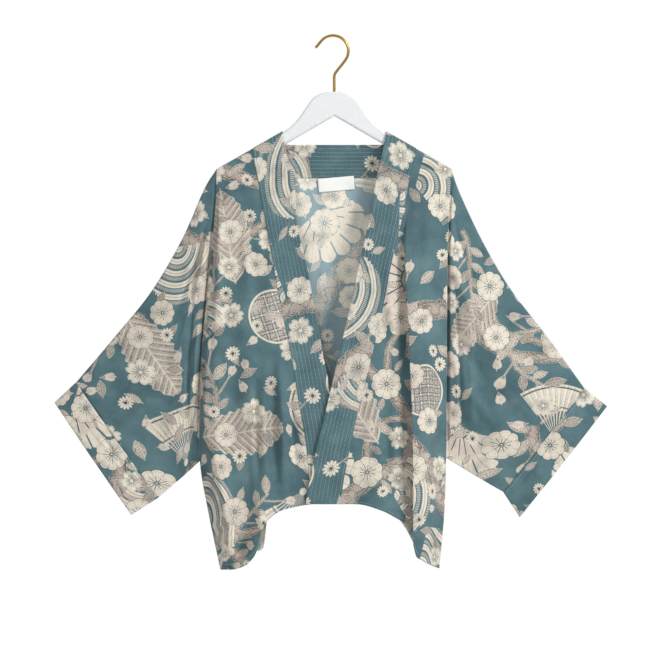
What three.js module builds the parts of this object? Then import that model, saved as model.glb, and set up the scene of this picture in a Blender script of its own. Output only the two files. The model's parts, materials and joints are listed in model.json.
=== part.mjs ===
// A short kimono jacket on a wooden hanger.
//
// The jacket hangs open from a flat board hanger with a wire hook. It is cut as two fronts, a
// back, two wide drop sleeves with applied cuffs, and one stitched neckband that runs up one front
// edge, over the shoulder, round the back of the neck and down the other front edge.
// Left and right are the wearer's: the wearer's right side is at -X, and the front faces -Y.
//
// Millimetres, +Z up. The origin is the underside of the top of the hook, where a rail or a pin
// carries it, so almost everything lies below it. The tables of cloth and board measure x outwards
// from the board's middle, and the two sides differ, because the jacket hangs a little unevenly.
//
// Every cloth piece is a thin wall round a middle surface. `frontOut` and `backOut` say how far
// the cloth stands out from the board's middle plane at each place. Neighbouring pieces read the
// same functions, so their edges meet.

import * as THREE from "three";

// ---- Driving dimensions ---------------------------------------------------------------------

const CLOTH = 1.2; // wall of a single layer
const BAND_WALL = 2.4; // wall of the doubled, stitched neckband
const CUFF_WALL = 1.8; // wall of the doubled cuff
const LABEL_WALL = 0.8;
const SEAM_GAP = 0.4; // between the edges of two pieces at a seam
const ARMHOLE_GAP = 1.0; // the same between middle surfaces, where the walls' edges are tilted
const SEAT_GAP = 0.4; // between the cloth and the board that carries it
const SEAM_HALF = 0.5 * CLOTH + 0.5 * SEAM_GAP; // half the way between two layers at a side seam

// The board of the hanger.
const BOARD = 12; // thickness
const BOARD_EDGE = 3; // rounding of its edges
const BOARD_MIDDLE = 2; // its middle line lies this far towards +X from the hook's seat
const ARM_START = { x: 84, z: -154 }; // where the hump runs into an arm's straight top
const ARM_TIP_X = 184;
const ARM_SLOPE = 0.57; // fall of an arm's top for each millimetre outwards
const ARM_HEIGHT = 21.5; // measured straight down
const NOTCH = -126.5; // point of the notch under the hump
const TIP_ROUND = 7;
const HUMP = [
  { x: 12, z: -88 },
  { x: 28, z: -93.5 },
  { x: 39, z: -104 },
  { x: 47, z: -116 },
  { x: 56, z: -129 },
  { x: 68, z: -142.5 },
];

// The hook, a bent wire.
const WIRE = 4.6;
const BEND_RADIUS = 24.6; // of the wire's middle line
const BEND_FROM_DEG = 140; // the bend's free end, turning from +X
const BEND_TO_DEG = -36; // where the bend turns back towards the stem
const HOOK_TIP = 14; // straight length at the free end
const STEM_TOP = -60;

// Where the cloth lies.
const SHOULDER_X = 188; // the armhole's top, just past the arm's tip
const UNDERARM = { right: -678, left: -673 }; // height of the armhole's foot
const FRONT_SWELL = 17; // how far a front swings out below the arm
const BACK_SWELL = 11;
const SWELL_REACH = 160; // the drop over which it swings out
const ARMHOLE_SWELL = 7; // extra room at the middle of an armhole
// The left front lies over the right one, from a height down and fading `reach` outwards.
const LAP = { right: -3.2, left: 3.4, from: -390, to: -530, reach: 170 };
// How far in from its side edge a panel turns towards that edge; the right front's turn widens.
const SIDE_TURN = { front: { right: 12, rightHem: 30, left: 34 }, back: 40 };
const SIDE_TURN_WIDENS = { from: -600, over: 120 };

// The neckband at each height: its seam edge and its free edge.
const BAND = {
  right: [
    { z: -150, outer: 131, inner: 84 },
    { z: -188, outer: 129, inner: 76 },
    { z: -224, outer: 122, inner: 64 },
    { z: -301, outer: 108.5, inner: 59 },
    { z: -368, outer: 96.5, inner: 43.5 },
    { z: -424, outer: 86, inner: 33 },
    { z: -510, outer: 68.5, inner: 17.5 },
    { z: -571, outer: 58.5, inner: 5 },
    { z: -649, outer: 45, inner: -8.5 },
    { z: -746, outer: 36.5, inner: -17.5 },
  ],
  left: [
    { z: -150, outer: 132, inner: 84 },
    { z: -188, outer: 130, inner: 76 },
    { z: -224, outer: 120, inner: 67 },
    { z: -300, outer: 106, inner: 54 },
    { z: -368, outer: 90, inner: 38.5 },
    { z: -424, outer: 79.5, inner: 26 },
    { z: -510, outer: 59.5, inner: 6.5 },
    { z: -597, outer: 38, inner: -13.5 },
    { z: -683, outer: 20, inner: -34 },
    { z: -746, outer: 9, inner: -46 },
  ],
};
const BAND_HEM = -746;
// The neckband behind the neck: from just below an arm to the middle of the back.
const BAND_BACK = [
  { outerX: 129, outerZ: -203, innerX: 84, innerZ: -167 },
  { outerX: 117, outerZ: -217, innerX: 79, innerZ: -171 },
  { outerX: 96, outerZ: -223.5, innerX: 71, innerZ: -172 },
  { outerX: 66, outerZ: -225, innerX: 58, innerZ: -172 },
  { outerX: 33, outerZ: -225, innerX: 31, innerZ: -172 },
  { outerX: 0, outerZ: -225, innerX: 0, innerZ: -172 },
];
const NECK_CORNER = 2 / 6; // share of that run where the back's edge turns from down to across

// The armhole and the side seam at each height.
const SIDE = {
  right: [
    { z: -200, x: 188 },
    { z: -275, x: 190 },
    { z: -371, x: 199 },
    { z: -475, x: 209 },
    { z: -560, x: 214 },
    { z: -678, x: 215 },
    { z: -762, x: 201 },
    { z: -852, x: 182 },
  ],
  left: [
    { z: -200, x: 188 },
    { z: -275, x: 183 },
    { z: -371, x: 180.5 },
    { z: -475, x: 180 },
    { z: -560, x: 179.5 },
    { z: -673, x: 179 },
    { z: -762, x: 176 },
    { z: -850, x: 168 },
  ],
};

// The main fold of each front: its crest at each height, and how far the crest stands out.
const CREST = {
  right: [
    { z: -190, x: 158, out: 0 },
    { z: -330, x: 150, out: 3 },
    { z: -480, x: 139, out: 6 },
    { z: -640, x: 126, out: 8 },
    { z: -790, x: 116, out: 9 },
    { z: -852, x: 120, out: 9 },
  ],
  left: [
    { z: -190, x: 148, out: 0 },
    { z: -334, x: 108, out: 4 },
    { z: -450, x: 113, out: 12 },
    { z: -634, x: 120, out: 15 },
    { z: -790, x: 124, out: 15 },
    { z: -850, x: 125, out: 14 },
  ],
};
const CREST_SPREAD = { right: { near: 34, far: 30 }, left: { near: 6, far: 56 } };

// The hems. `across` runs from the neckband's seam (0) through the crest (0.5) to the side (1).
const HEM = {
  right: [
    { across: 0, z: -746 },
    { across: 0.12, z: -749 },
    { across: 0.32, z: -757 },
    { across: 0.44, z: -770 },
    { across: 0.5, z: -796 },
    { across: 0.6, z: -834 },
    { across: 0.74, z: -848 },
    { across: 1, z: -852 },
  ],
  left: [
    { across: 0, z: -746 },
    { across: 0.16, z: -747 },
    { across: 0.3, z: -758 },
    { across: 0.42, z: -775 },
    { across: 0.49, z: -790 },
    { across: 0.58, z: -824 },
    { across: 0.72, z: -833 },
    { across: 1, z: -850 },
  ],
};
// The back's hem, the same both ways from the middle (0) to the side seams (1).
const BACK_HEM = [
  { across: 0, z: -739 },
  { across: 0.3, z: -742 },
  { across: 0.52, z: -757 },
  { across: 0.68, z: -800 },
  { across: 0.82, z: -840 },
  { across: 1, z: -850 },
];

// Softer folds. Each runs down a line and spreads `near` towards smaller x, `far` towards larger.
const FRONT_FOLDS = {
  right: [
    { topX: 112, topZ: -300, footX: 84, footZ: -800, near: 22, far: 24, out: 4 },
    { topX: 196, topZ: -590, footX: 168, footZ: -870, near: 28, far: 20, out: 8 },
    { topX: 172, topZ: -240, footX: 186, footZ: -640, near: 26, far: 18, out: 4 },
  ],
  left: [
    { topX: 70, topZ: -500, footX: 72, footZ: -800, near: 24, far: 22, out: 4 },
    { topX: 158, topZ: -240, footX: 156, footZ: -880, near: 20, far: 18, out: 3 },
  ],
};
// On the back x runs from the wearer's right (negative) to the left.
const BACK_FOLDS = [
  { topX: -134, topZ: -260, footX: -126, footZ: -900, near: 18, far: 30, out: 9 },
  { topX: -60, topZ: -330, footX: -70, footZ: -800, near: 26, far: 24, out: 5 },
  { topX: 10, topZ: -290, footX: 4, footZ: -800, near: 30, far: 26, out: 6 },
  { topX: 76, topZ: -330, footX: 84, footZ: -820, near: 24, far: 26, out: 5 },
  { topX: 138, topZ: -270, footX: 134, footZ: -900, near: 32, far: 18, out: 8 },
];
const FOLD_FADE = 110; // length over which a soft fold begins

// The sleeves: the upper fold and the underarm seam, with the room from the middle plane to the
// cloth. The first row is the armhole and the last the cuff's seam.
const SLEEVE = {
  right: [
    { topX: 188, topZ: -211.5, lowX: 215, lowZ: -678, room: 8 },
    { topX: 208.5, topZ: -245, lowX: 227, lowZ: -689, room: 10.5 },
    { topX: 244, topZ: -325, lowX: 240, lowZ: -701, room: 12 },
    { topX: 293, topZ: -408, lowX: 254, lowZ: -713, room: 12 },
    { topX: 352, topZ: -481, lowX: 268, lowZ: -725, room: 11 },
    { topX: 413, topZ: -553, lowX: 282, lowZ: -737, room: 9 },
  ],
  left: [
    { topX: 188, topZ: -211.5, lowX: 179, lowZ: -673, room: 8 },
    { topX: 202, topZ: -252, lowX: 196.6, lowZ: -684, room: 10.5 },
    { topX: 236, topZ: -325, lowX: 214.8, lowZ: -695, room: 12 },
    { topX: 281, topZ: -402, lowX: 233.2, lowZ: -706, room: 12 },
    { topX: 341, topZ: -480, lowX: 251.8, lowZ: -717, room: 11 },
    { topX: 400, topZ: -562, lowX: 271, lowZ: -728, room: 9 },
  ],
};
const CUFF = {
  right: [
    { topX: 413, topZ: -553, lowX: 282, lowZ: -737, room: 9 },
    { topX: 447, topZ: -585, lowX: 325, lowZ: -764, room: 9 },
  ],
  left: [
    { topX: 400, topZ: -562, lowX: 271, lowZ: -728, room: 9 },
    { topX: 436, topZ: -591, lowX: 297, lowZ: -768, room: 9 },
  ],
};
// Folds along a sleeve: where each crosses the armhole and the cuff, as shares of the depth.
const SLEEVE_FOLDS = {
  right: [
    { start: 0.3, end: 0.42, width: 0.17, out: 5 },
    { start: 0.7, end: 0.78, width: 0.15, out: 4 },
  ],
  left: [
    { start: 0.38, end: 0.3, width: 0.18, out: 4 },
    { start: 0.72, end: 0.66, width: 0.16, out: 5 },
  ],
};
const SLEEVE_HOLD = 0.35; // share of a sleeve over which the armhole's own shape fades
const FOLDS_BEGIN = 0.3; // share of a sleeve over which its folds rise
const FOLDS_LOSE = 0.6; // share of their height that they lose again towards the cuff
const CUFF_FOLDS = 0.4; // height of the folds across a cuff
const CUFF_DEPTH = 45;
const TOP_ROUND = 4; // rounding of a sleeve's upper fold, away from the arm
const LOW_ROUND = 1.6; // rounding at its underarm seam

const LABEL = { x: 3, z: -235, width: 58, height: 22, tiltDeg: 5 };

const COLOURS = {
  cloth: 0x5d7f8a,
  band: 0x66878f,
  board: 0xf0f0ee,
  wire: 0xc9a15a,
  label: 0xf4f4f2,
};

// ---- Worked out from them -------------------------------------------------------------------

const CLEAR = SEAT_GAP + BAND_WALL / 2; // from the board's surface to the cloth's middle surface
const ARM_COS = 1 / Math.hypot(1, ARM_SLOPE);
const OVER_FLAT = BOARD / 2 - BOARD_EDGE; // half the level stretch across an arm's top
const OVER_RADIUS = BOARD_EDGE + CLEAR;
const OVER_RUN = OVER_FLAT + (OVER_RADIUS * Math.PI) / 2; // run of cloth from the ridge to upright
const OVER_DROP = OVER_RADIUS / ARM_COS;
const ARM_OUT = OVER_FLAT + OVER_RADIUS;
const OVER_SHARE = 0.02; // share of a panel's rows that bends over the arm

const clamp01 = (t) => Math.min(1, Math.max(0, t));
const mix = (a, b, t) => a + (b - a) * t;
const smooth = (t) => {
  const c = clamp01(t);
  return c * c * (3 - 2 * c);
};
const signOf = (side) => (side === "left" ? 1 : -1);
const evenly = (count) => Array.from({ length: count + 1 }, (_, k) => k / count);

/** A smooth curve through one column of a table, `f` of the way from row `i` to the next. */
function through(rows, column, i, f) {
  const last = rows.length - 1;
  const value = (k) => {
    if (k < 0) return 2 * rows[0][column] - rows[1][column];
    if (k > last) return 2 * rows[last][column] - rows[last - 1][column];
    return rows[k][column];
  };
  const [a, b, c, d] = [value(i - 1), value(i), value(i + 1), value(i + 2)];
  const bend = 2 * a - 5 * b + 4 * c - d + f * (3 * (b - c) + d - a);
  return b + 0.5 * f * (c - a + f * bend);
}

/** The curve's value at `t` from 0 to 1 along the rows. */
function along(rows, column, t) {
  const at = clamp01(t) * (rows.length - 1);
  const i = Math.min(rows.length - 2, Math.floor(at));
  return through(rows, column, i, at - i);
}

/** The curve's value where the rows' own `key` column, which runs one way, reaches `place`. */
function valueAt(rows, key, column, place) {
  const way = Math.sign(rows.at(-1)[key] - rows[0][key]);
  let i = 0;
  while (i < rows.length - 2 && (place - rows[i + 1][key]) * way > 0) i += 1;
  const [from, to] = [rows[i][key], rows[i + 1][key]];
  return through(rows, column, i, clamp01((place - from) / (to - from)));
}

// ---- The shape that the cloth takes ---------------------------------------------------------

/** Height of the cloth's ridge over an arm. */
const ridgeZ = (x) => ARM_START.z - ARM_SLOPE * (Math.abs(x) - ARM_START.x) + CLEAR / ARM_COS;

/** Where cloth lies after running `run` from the ridge over an arm's rounded edge. */
function overArm(run) {
  if (run < OVER_FLAT) return { out: run, down: 0 };
  const angle = Math.min(Math.PI / 2, (run - OVER_FLAT) / OVER_RADIUS);
  return {
    out: OVER_FLAT + OVER_RADIUS * Math.sin(angle),
    down: OVER_DROP * (1 - Math.cos(angle)),
  };
}

/** A bump across a crest at `crest`, spreading `near` to smaller x and `far` to larger. */
function ridgeAcross(x, crest, near, far) {
  const away = x - crest;
  return 1 - smooth(Math.abs(away) / (away < 0 ? near : far));
}

function softFold(fold, x, z) {
  const t = (z - fold.topZ) / (fold.footZ - fold.topZ);
  const across = ridgeAcross(x, mix(fold.topX, fold.footX, t), fold.near, fold.far);
  return fold.out * across * smooth((fold.topZ - z) / FOLD_FADE);
}

const softFolds = (folds, x, z) => folds.reduce((sum, fold) => sum + softFold(fold, x, z), 0);

/** How far the cloth has swung out at a drop below the ridge, from 0 to 1. */
const swing = (x, z) => 1 - Math.exp(-Math.max(0, ridgeZ(x) - z) / SWELL_REACH);

/** Out from the middle plane along the armhole and the side seam. */
function sideOut(side, z, armOut) {
  const c = clamp01((ridgeZ(SHOULDER_X) - z) / (ridgeZ(SHOULDER_X) - UNDERARM[side]));
  const room = ARMHOLE_SWELL * Math.sin(Math.PI * c);
  return armOut * (1 - c * c) + room + SEAM_HALF * c * c;
}

/** From 0 well inside a panel to 1 at its side edge. */
function nearSide(side, x, z, reach) {
  return 1 - smooth((valueAt(SIDE[side], "z", "x", z) - Math.abs(x)) / reach);
}

/** The width over which a front turns towards its side edge. */
function frontTurn(side, z) {
  const { right, rightHem, left } = SIDE_TURN.front;
  if (side === "left") return left;
  return mix(right, rightHem, smooth((SIDE_TURN_WIDENS.from - z) / SIDE_TURN_WIDENS.over));
}

/** Out of a front at x, measured outwards on its own side, and z. */
function frontOut(side, x, z, armOut = ARM_OUT) {
  const crest = CREST[side];
  const { near, far } = CREST_SPREAD[side];
  const main =
    valueAt(crest, "z", "out", z) * ridgeAcross(x, valueAt(crest, "z", "x", z), near, far);
  const lapFade = 1 - smooth(x / LAP.reach);
  const lap = LAP[side] * smooth((LAP.from - z) / (LAP.from - LAP.to)) * lapFade;
  const swell = FRONT_SWELL * swing(x, z);
  const free = armOut + swell + lap + main + softFolds(FRONT_FOLDS[side], x, z);
  return mix(free, sideOut(side, z, armOut), nearSide(side, x, z, frontTurn(side, z)));
}

/** Out of the back at x and z, both in the frame of the board. */
function backOut(x, z, armOut = ARM_OUT) {
  const side = x > 0 ? "left" : "right";
  const free = armOut + BACK_SWELL * swing(x, z) + softFolds(BACK_FOLDS, x, z);
  return mix(free, sideOut(side, z, armOut), nearSide(side, x, z, SIDE_TURN.back));
}

// ---- Walls ----------------------------------------------------------------------------------

/** The mesh as a geometry whose faces point out, whichever way its grid ran. */
function facingOut(positions, index) {
  const point = (k) => new THREE.Vector3().fromArray(positions, 3 * k);
  let volume = 0;
  for (let k = 0; k < index.length; k += 3) {
    volume += point(index[k]).dot(point(index[k + 1]).cross(point(index[k + 2])));
  }
  if (volume < 0) index.reverse();
  const geometry = new THREE.BufferGeometry();
  geometry.setAttribute("position", new THREE.Float32BufferAttribute(positions, 3));
  geometry.setIndex(index);
  return geometry;
}

/**
 * A closed wall of `thick` round the middle surface `at(u, v)`, with its points at `us` by `vs`.
 * A `ring` closes on itself along u. `has(i, j)` leaves out cells of the grid.
 */
function wall({ at, us, vs, thick, ring = false, has = () => true }) {
  const STEP = 2e-4;
  const columns = us.length;
  const spans = ring ? columns : columns - 1;
  const wrap = (u) => (ring ? ((u % 1) + 1) % 1 : clamp01(u));
  const normalAt = (u, v) => {
    const du = at(wrap(u + STEP), v).sub(at(wrap(u - STEP), v));
    const dv = at(u, clamp01(v + STEP)).sub(at(u, clamp01(v - STEP)));
    return du.cross(dv).normalize();
  };
  const exists = (i, j) => {
    if (j < 0 || j >= vs.length - 1) return false;
    if (!ring && (i < 0 || i >= spans)) return false;
    return has((i + spans) % spans, j);
  };
  const positions = [];
  const ids = new Map();
  const id = (i, j, face) => {
    const key = `${i % columns} ${j} ${face}`;
    if (!ids.has(key)) {
      const [u, v] = [us[i % columns], vs[j]];
      const p = at(u, v).addScaledVector(normalAt(u, v), (face * thick) / 2);
      ids.set(key, positions.length / 3);
      positions.push(p.x, p.y, p.z);
    }
    return ids.get(key);
  };
  const index = [];
  const quad = (a, b, c, d) => index.push(a, b, c, a, c, d);
  const rim = (i, j, k, l) => quad(id(i, j, 1), id(i, j, -1), id(k, l, -1), id(k, l, 1));
  for (let j = 0; j < vs.length - 1; j += 1) {
    for (let i = 0; i < spans; i += 1) {
      if (!exists(i, j)) continue;
      quad(id(i, j, 1), id(i + 1, j, 1), id(i + 1, j + 1, 1), id(i, j + 1, 1));
      quad(id(i, j, -1), id(i, j + 1, -1), id(i + 1, j + 1, -1), id(i + 1, j, -1));
      if (!exists(i, j - 1)) rim(i, j, i + 1, j);
      if (!exists(i + 1, j)) rim(i + 1, j, i + 1, j + 1);
      if (!exists(i, j + 1)) rim(i + 1, j + 1, i, j + 1);
      if (!exists(i - 1, j)) rim(i, j + 1, i, j);
    }
  }
  return facingOut(positions, index);
}

// Rows: over the arm, down to the underarm, and on to the hem.
const OVER_TURNS = [0, 1, 2, 3].map((k) => OVER_FLAT + (OVER_RADIUS * Math.PI * k) / 6);
const OVER_ROWS = [0, ...OVER_TURNS];
const OVER_VS = OVER_ROWS.map((run) => (OVER_SHARE * run) / OVER_RUN);
const UNDERARM_SHARE = 0.74;
const ARMHOLE_ROWS = evenly(12).slice(1).map((t) => t * UNDERARM_SHARE);
const SKIRT_ROWS = evenly(6).slice(1).map((t) => mix(UNDERARM_SHARE, 1, t));
const BELOW_VS = [...ARMHOLE_ROWS, ...SKIRT_ROWS].map((t) => mix(OVER_SHARE, 1, t));
const PANEL_VS = [...OVER_VS, ...BELOW_VS];

/** Height at share `t` below the arm, with the underarm's height at UNDERARM_SHARE. */
function heightAt(side, topZ, hemZ, t) {
  if (t < UNDERARM_SHARE) return mix(topZ, UNDERARM[side], t / UNDERARM_SHARE);
  return mix(UNDERARM[side], hemZ, (t - UNDERARM_SHARE) / (1 - UNDERARM_SHARE));
}

/** The height where the line `xAt(z)` leaves the bend over the arm. */
function footOfArm(xAt) {
  let z = ARM_START.z;
  for (let step = 0; step < 12; step += 1) z = ridgeZ(xAt(z)) - OVER_DROP;
  return z;
}

/** A point over an arm or below it, on the line `xAt(z)` from the ridge to `hemZ`. */
function panelPoint({ side, xAt, hemZ, v, outAt, face, startRun = SEAM_GAP / 2 }) {
  const footZ = footOfArm(xAt);
  if (v < OVER_SHARE) {
    const x = xAt(footZ);
    const { out, down } = overArm(mix(startRun, OVER_RUN, v / OVER_SHARE));
    const z = ridgeZ(x) - down;
    return new THREE.Vector3(signOf(side) * x, face * outAt(x, z, out), z);
  }
  const z = heightAt(side, footZ, hemZ, (v - OVER_SHARE) / (1 - OVER_SHARE));
  const x = xAt(z);
  return new THREE.Vector3(signOf(side) * x, face * outAt(x, z, ARM_OUT), z);
}

// ---- The pieces -----------------------------------------------------------------------------

/** x of a front's column `u` at height z: from the neckband by the crest to the side. */
function frontX(side, u, z) {
  const seam = valueAt(BAND[side], "z", "outer", z) + SEAM_GAP;
  const crest = valueAt(CREST[side], "z", "x", z);
  const edge = valueAt(SIDE[side], "z", "x", z);
  return u < 0.5 ? mix(seam, crest, 2 * u) : mix(crest, edge, 2 * u - 1);
}

function front(side) {
  const at = (u, v) =>
    panelPoint({
      side,
      xAt: (z) => frontX(side, u, z),
      hemZ: valueAt(HEM[side], "across", "z", u),
      v,
      outAt: (x, z, armOut) => frontOut(side, x, z, armOut),
      face: -1,
    });
  const us = [0, 0.1, 0.2, 0.3, 0.39, 0.455, 0.5, 0.56, 0.64, 0.74, 0.84, 0.92, 0.96, 1];
  return wall({ at, us, vs: PANEL_VS, thick: CLOTH });
}

// The back's grid: `across` from 0 in the middle to 1 at the side; the neckband's corner is at
// CORNER_ACROSS, and the cells between the two corners above the neckband's seam are left out.
const CORNER_ACROSS = 0.64;
const STRIP_SHARE = 0.07; // share of the rows above the corner
const FANNED_SHARE = 0.45; // share below the corner over which the columns fan out to the hem's
const STRIP_TS = evenly(3).map((t) => t * NECK_CORNER);
const NECK_TS = evenly(5).map((t) => mix(NECK_CORNER, 1, t));

/** The neckband's run behind the neck, starting where its cross line leaves the arm. */
function backRun(side) {
  const edgeAt = (edge) => (z) => valueAt(BAND[side], "z", edge, z);
  const [outerAt, innerAt] = ["outer", "inner"].map(edgeAt);
  const [outerZ, innerZ] = [footOfArm(outerAt), footOfArm(innerAt)];
  const first = { outerX: outerAt(outerZ), outerZ, innerX: innerAt(innerZ), innerZ };
  return [first, ...BAND_BACK];
}

const BACK_RUN = { right: backRun("right"), left: backRun("left") };

/** A point of the back's neck edge, `reach` beyond the neckband's own edge. */
function neckSeam(side, t, reach) {
  const rows = BACK_RUN[side];
  const [ox, oz] = [along(rows, "outerX", t), along(rows, "outerZ", t)];
  const [ix, iz] = [along(rows, "innerX", t), along(rows, "innerZ", t)];
  const stretch = 1 + reach / Math.hypot(ox - ix, oz - iz);
  return { x: mix(ix, ox, stretch), z: mix(iz, oz, stretch) };
}

/** The side seam at share `t` of the way from the arm to the hem. */
function sideSeam(side, t, hemZ) {
  const footZ = footOfArm((z) => valueAt(SIDE[side], "z", "x", z));
  const z = heightAt(side, footZ, hemZ, t);
  return { x: valueAt(SIDE[side], "z", "x", z), z };
}

function backPlan(side, across, t) {
  const hemZ = valueAt(BACK_HEM, "across", "z", across);
  const sideHem = BACK_HEM.at(-1).z;
  const outwards = (across - CORNER_ACROSS) / (1 - CORNER_ACROSS);
  if (t < STRIP_SHARE) {
    const seam = neckSeam(side, (t / STRIP_SHARE) * NECK_CORNER, SEAM_GAP);
    const edge = sideSeam(side, t, sideHem);
    return { x: mix(seam.x, edge.x, outwards), z: mix(seam.z, edge.z, outwards) };
  }
  const edge = sideSeam(side, t, sideHem);
  const edgeTop = sideSeam(side, STRIP_SHARE, sideHem);
  const inwards = across / CORNER_ACROSS;
  const corner = neckSeam(side, NECK_CORNER, SEAM_GAP);
  const top =
    across < CORNER_ACROSS
      ? neckSeam(side, mix(1, NECK_CORNER, inwards), SEAM_GAP)
      : { x: mix(corner.x, edgeTop.x, outwards), z: mix(corner.z, edgeTop.z, outwards) };
  const below = (t - STRIP_SHARE) / (1 - STRIP_SHARE);
  const fanned = mix((top.x * edge.x) / edgeTop.x, edge.x * across, smooth(below / FANNED_SHARE));
  const fall = (edge.z - edgeTop.z) / (sideHem - edgeTop.z);
  return { x: fanned, z: mix(top.z, hemZ, fall) };
}

function backPoint(u, v) {
  const side = u > 0.5 ? "left" : "right";
  const across = Math.abs(2 * u - 1);
  if (v < OVER_SHARE) {
    const outwards = clamp01((across - CORNER_ACROSS) / (1 - CORNER_ACROSS));
    const inner = neckSeam(side, 0, SEAM_GAP).x;
    const x = mix(inner, sideSeam(side, 0, BACK_HEM.at(-1).z).x, outwards);
    const { out, down } = overArm(mix(SEAM_GAP / 2, OVER_RUN, v / OVER_SHARE));
    const z = ridgeZ(x) - down;
    return new THREE.Vector3(signOf(side) * x, backOut(signOf(side) * x, z, out), z);
  }
  const plan = backPlan(side, across, (v - OVER_SHARE) / (1 - OVER_SHARE));
  const x = signOf(side) * plan.x;
  return new THREE.Vector3(x, backOut(x, plan.z), plan.z);
}

function back() {
  const outer = evenly(5).map((t) => mix(1, CORNER_ACROSS, t));
  const inner = NECK_TS.slice(1).map((t) => (CORNER_ACROSS * (1 - t)) / (1 - NECK_CORNER));
  const acrossRight = [...outer, ...inner];
  const us = [
    ...acrossRight.map((a) => 0.5 - 0.5 * a),
    ...acrossRight.slice(0, -1).reverse().map((a) => 0.5 + 0.5 * a),
  ];
  const strip = STRIP_TS.slice(1).map((t) => (t / NECK_CORNER) * STRIP_SHARE);
  const lower = evenly(17).slice(1).map((t) => mix(STRIP_SHARE, 1, t));
  const vs = [...OVER_VS, ...[...strip, ...lower].map((t) => mix(OVER_SHARE, 1, t))];
  const cornerRow = OVER_VS.length - 1 + strip.length;
  const cornerColumn = outer.length - 1;
  const lastOfNeck = us.length - 1 - cornerColumn;
  const has = (i, j) => j >= cornerRow || i < cornerColumn || i >= lastOfNeck;
  return wall({ at: backPoint, us, vs, thick: CLOTH, has });
}

// Shares of the neckband's half length: behind the neck, then over the back of the arm.
const BAND_AT_ARM = 0.2;
const BAND_AT_RIDGE = 0.22;

/** A point of the neckband: u from its free edge to its seam edge, p from mid back to a hem. */
function bandPoint(side, u, p) {
  const sign = signOf(side);
  const rows = BACK_RUN[side];
  if (p < BAND_AT_ARM) {
    const t = 1 - p / BAND_AT_ARM;
    const x = sign * mix(along(rows, "innerX", t), along(rows, "outerX", t), u);
    const z = mix(along(rows, "innerZ", t), along(rows, "outerZ", t), u);
    return new THREE.Vector3(x, backOut(x, z), z);
  }
  if (p < BAND_AT_RIDGE) {
    const x = mix(rows[0].innerX, rows[0].outerX, u);
    const share = (BAND_AT_RIDGE - p) / (BAND_AT_RIDGE - BAND_AT_ARM);
    const { out, down } = overArm(OVER_RUN * share);
    const z = ridgeZ(x) - down;
    return new THREE.Vector3(sign * x, backOut(sign * x, z, out), z);
  }
  const edgeAt = (edge, z) => valueAt(BAND[side], "z", edge, z);
  return panelPoint({
    side,
    xAt: (z) => mix(edgeAt("inner", z), edgeAt("outer", z), u),
    hemZ: BAND_HEM,
    v: (p - BAND_AT_RIDGE) / (1 - BAND_AT_RIDGE),
    outAt: (x, z, armOut) => frontOut(side, x, z, armOut),
    face: -1,
    startRun: 0,
  });
}

function neckband() {
  const behind = [...NECK_TS.toReversed(), ...STRIP_TS.toReversed().slice(1)];
  const half = [
    ...behind.map((t) => (1 - t) * BAND_AT_ARM),
    ...OVER_VS.toReversed().map((v) => mix(BAND_AT_RIDGE, BAND_AT_ARM, v / OVER_SHARE)),
    ...PANEL_VS.slice(1).map((v) => mix(BAND_AT_RIDGE, 1, v)),
  ];
  const rightHalf = half.slice(1).toReversed().map((p) => 0.5 - 0.5 * p);
  const vs = [...rightHalf, ...half.map((p) => 0.5 + 0.5 * p)];
  const at = (u, v) => bandPoint(v < 0.5 ? "right" : "left", u, Math.abs(2 * v - 1));
  return wall({ at, us: evenly(5), vs, thick: BAND_WALL });
}

// Share of a half ring, from its top to its foot, that turns the corner at either end.
const TURN = 0.06;

/** Where a half ring's share `h` lies on a cross line of length `depth`, and how open it is. */
function halfRing(h, depth, topRound, lowRound) {
  const turned = (share, radius) => {
    const angle = (share * Math.PI) / 2;
    return { from: radius * (1 - Math.cos(angle)), open: Math.sin(angle) };
  };
  if (h < TURN) {
    const { from, open } = turned(h / TURN, topRound);
    return { c: from / depth, open };
  }
  if (h > 1 - TURN) {
    const { from, open } = turned((1 - h) / TURN, lowRound);
    return { c: 1 - from / depth, open };
  }
  return { c: mix(topRound, depth - lowRound, (h - TURN) / (1 - 2 * TURN)) / depth, open: 1 };
}

/**
 * A point of a sleeve or cuff. u runs round from the upper fold, down the front and up the back;
 * v runs outwards. `hold` is how far the armhole's own shape rules there, from 1 to 0.
 */
function tubePoint({ side, rows, u, v, hold, foldScale }) {
  const [topX, topZ] = [along(rows, "topX", v), along(rows, "topZ", v)];
  const [lowX, lowZ] = [along(rows, "lowX", v), along(rows, "lowZ", v)];
  const face = u < 0.5 ? -1 : 1;
  const h = u < 0.5 ? 2 * u : 2 * (1 - u);
  const topRound = mix(TOP_ROUND, ARM_OUT, hold);
  const lowRound = mix(LOW_ROUND, SEAM_HALF, hold);
  const { c, open } = halfRing(h, Math.hypot(topX - lowX, topZ - lowZ), topRound, lowRound);
  const [first] = SLEEVE[side];
  const armhole = valueAt(SIDE[side], "z", "x", mix(first.topZ, first.lowZ, c));
  const curve = armhole - mix(first.topX, first.lowX, c);
  const z = mix(topZ, lowZ, c);
  const x = mix(topX, lowX, c) + hold * (curve + ARMHOLE_GAP);
  const swell = mix(along(rows, "room", v), ARMHOLE_SWELL, hold) * Math.sin(Math.PI * c);
  const foldAt = ({ start, end, width, out }) =>
    out * ridgeAcross(c, mix(start, end, v), width, width);
  const folds = SLEEVE_FOLDS[side].reduce((sum, fold) => sum + foldAt(fold), 0);
  const out = topRound * (1 - c * c) + lowRound * c * c + swell + foldScale * folds;
  return new THREE.Vector3(signOf(side) * x, face * open * out, z);
}

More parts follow.
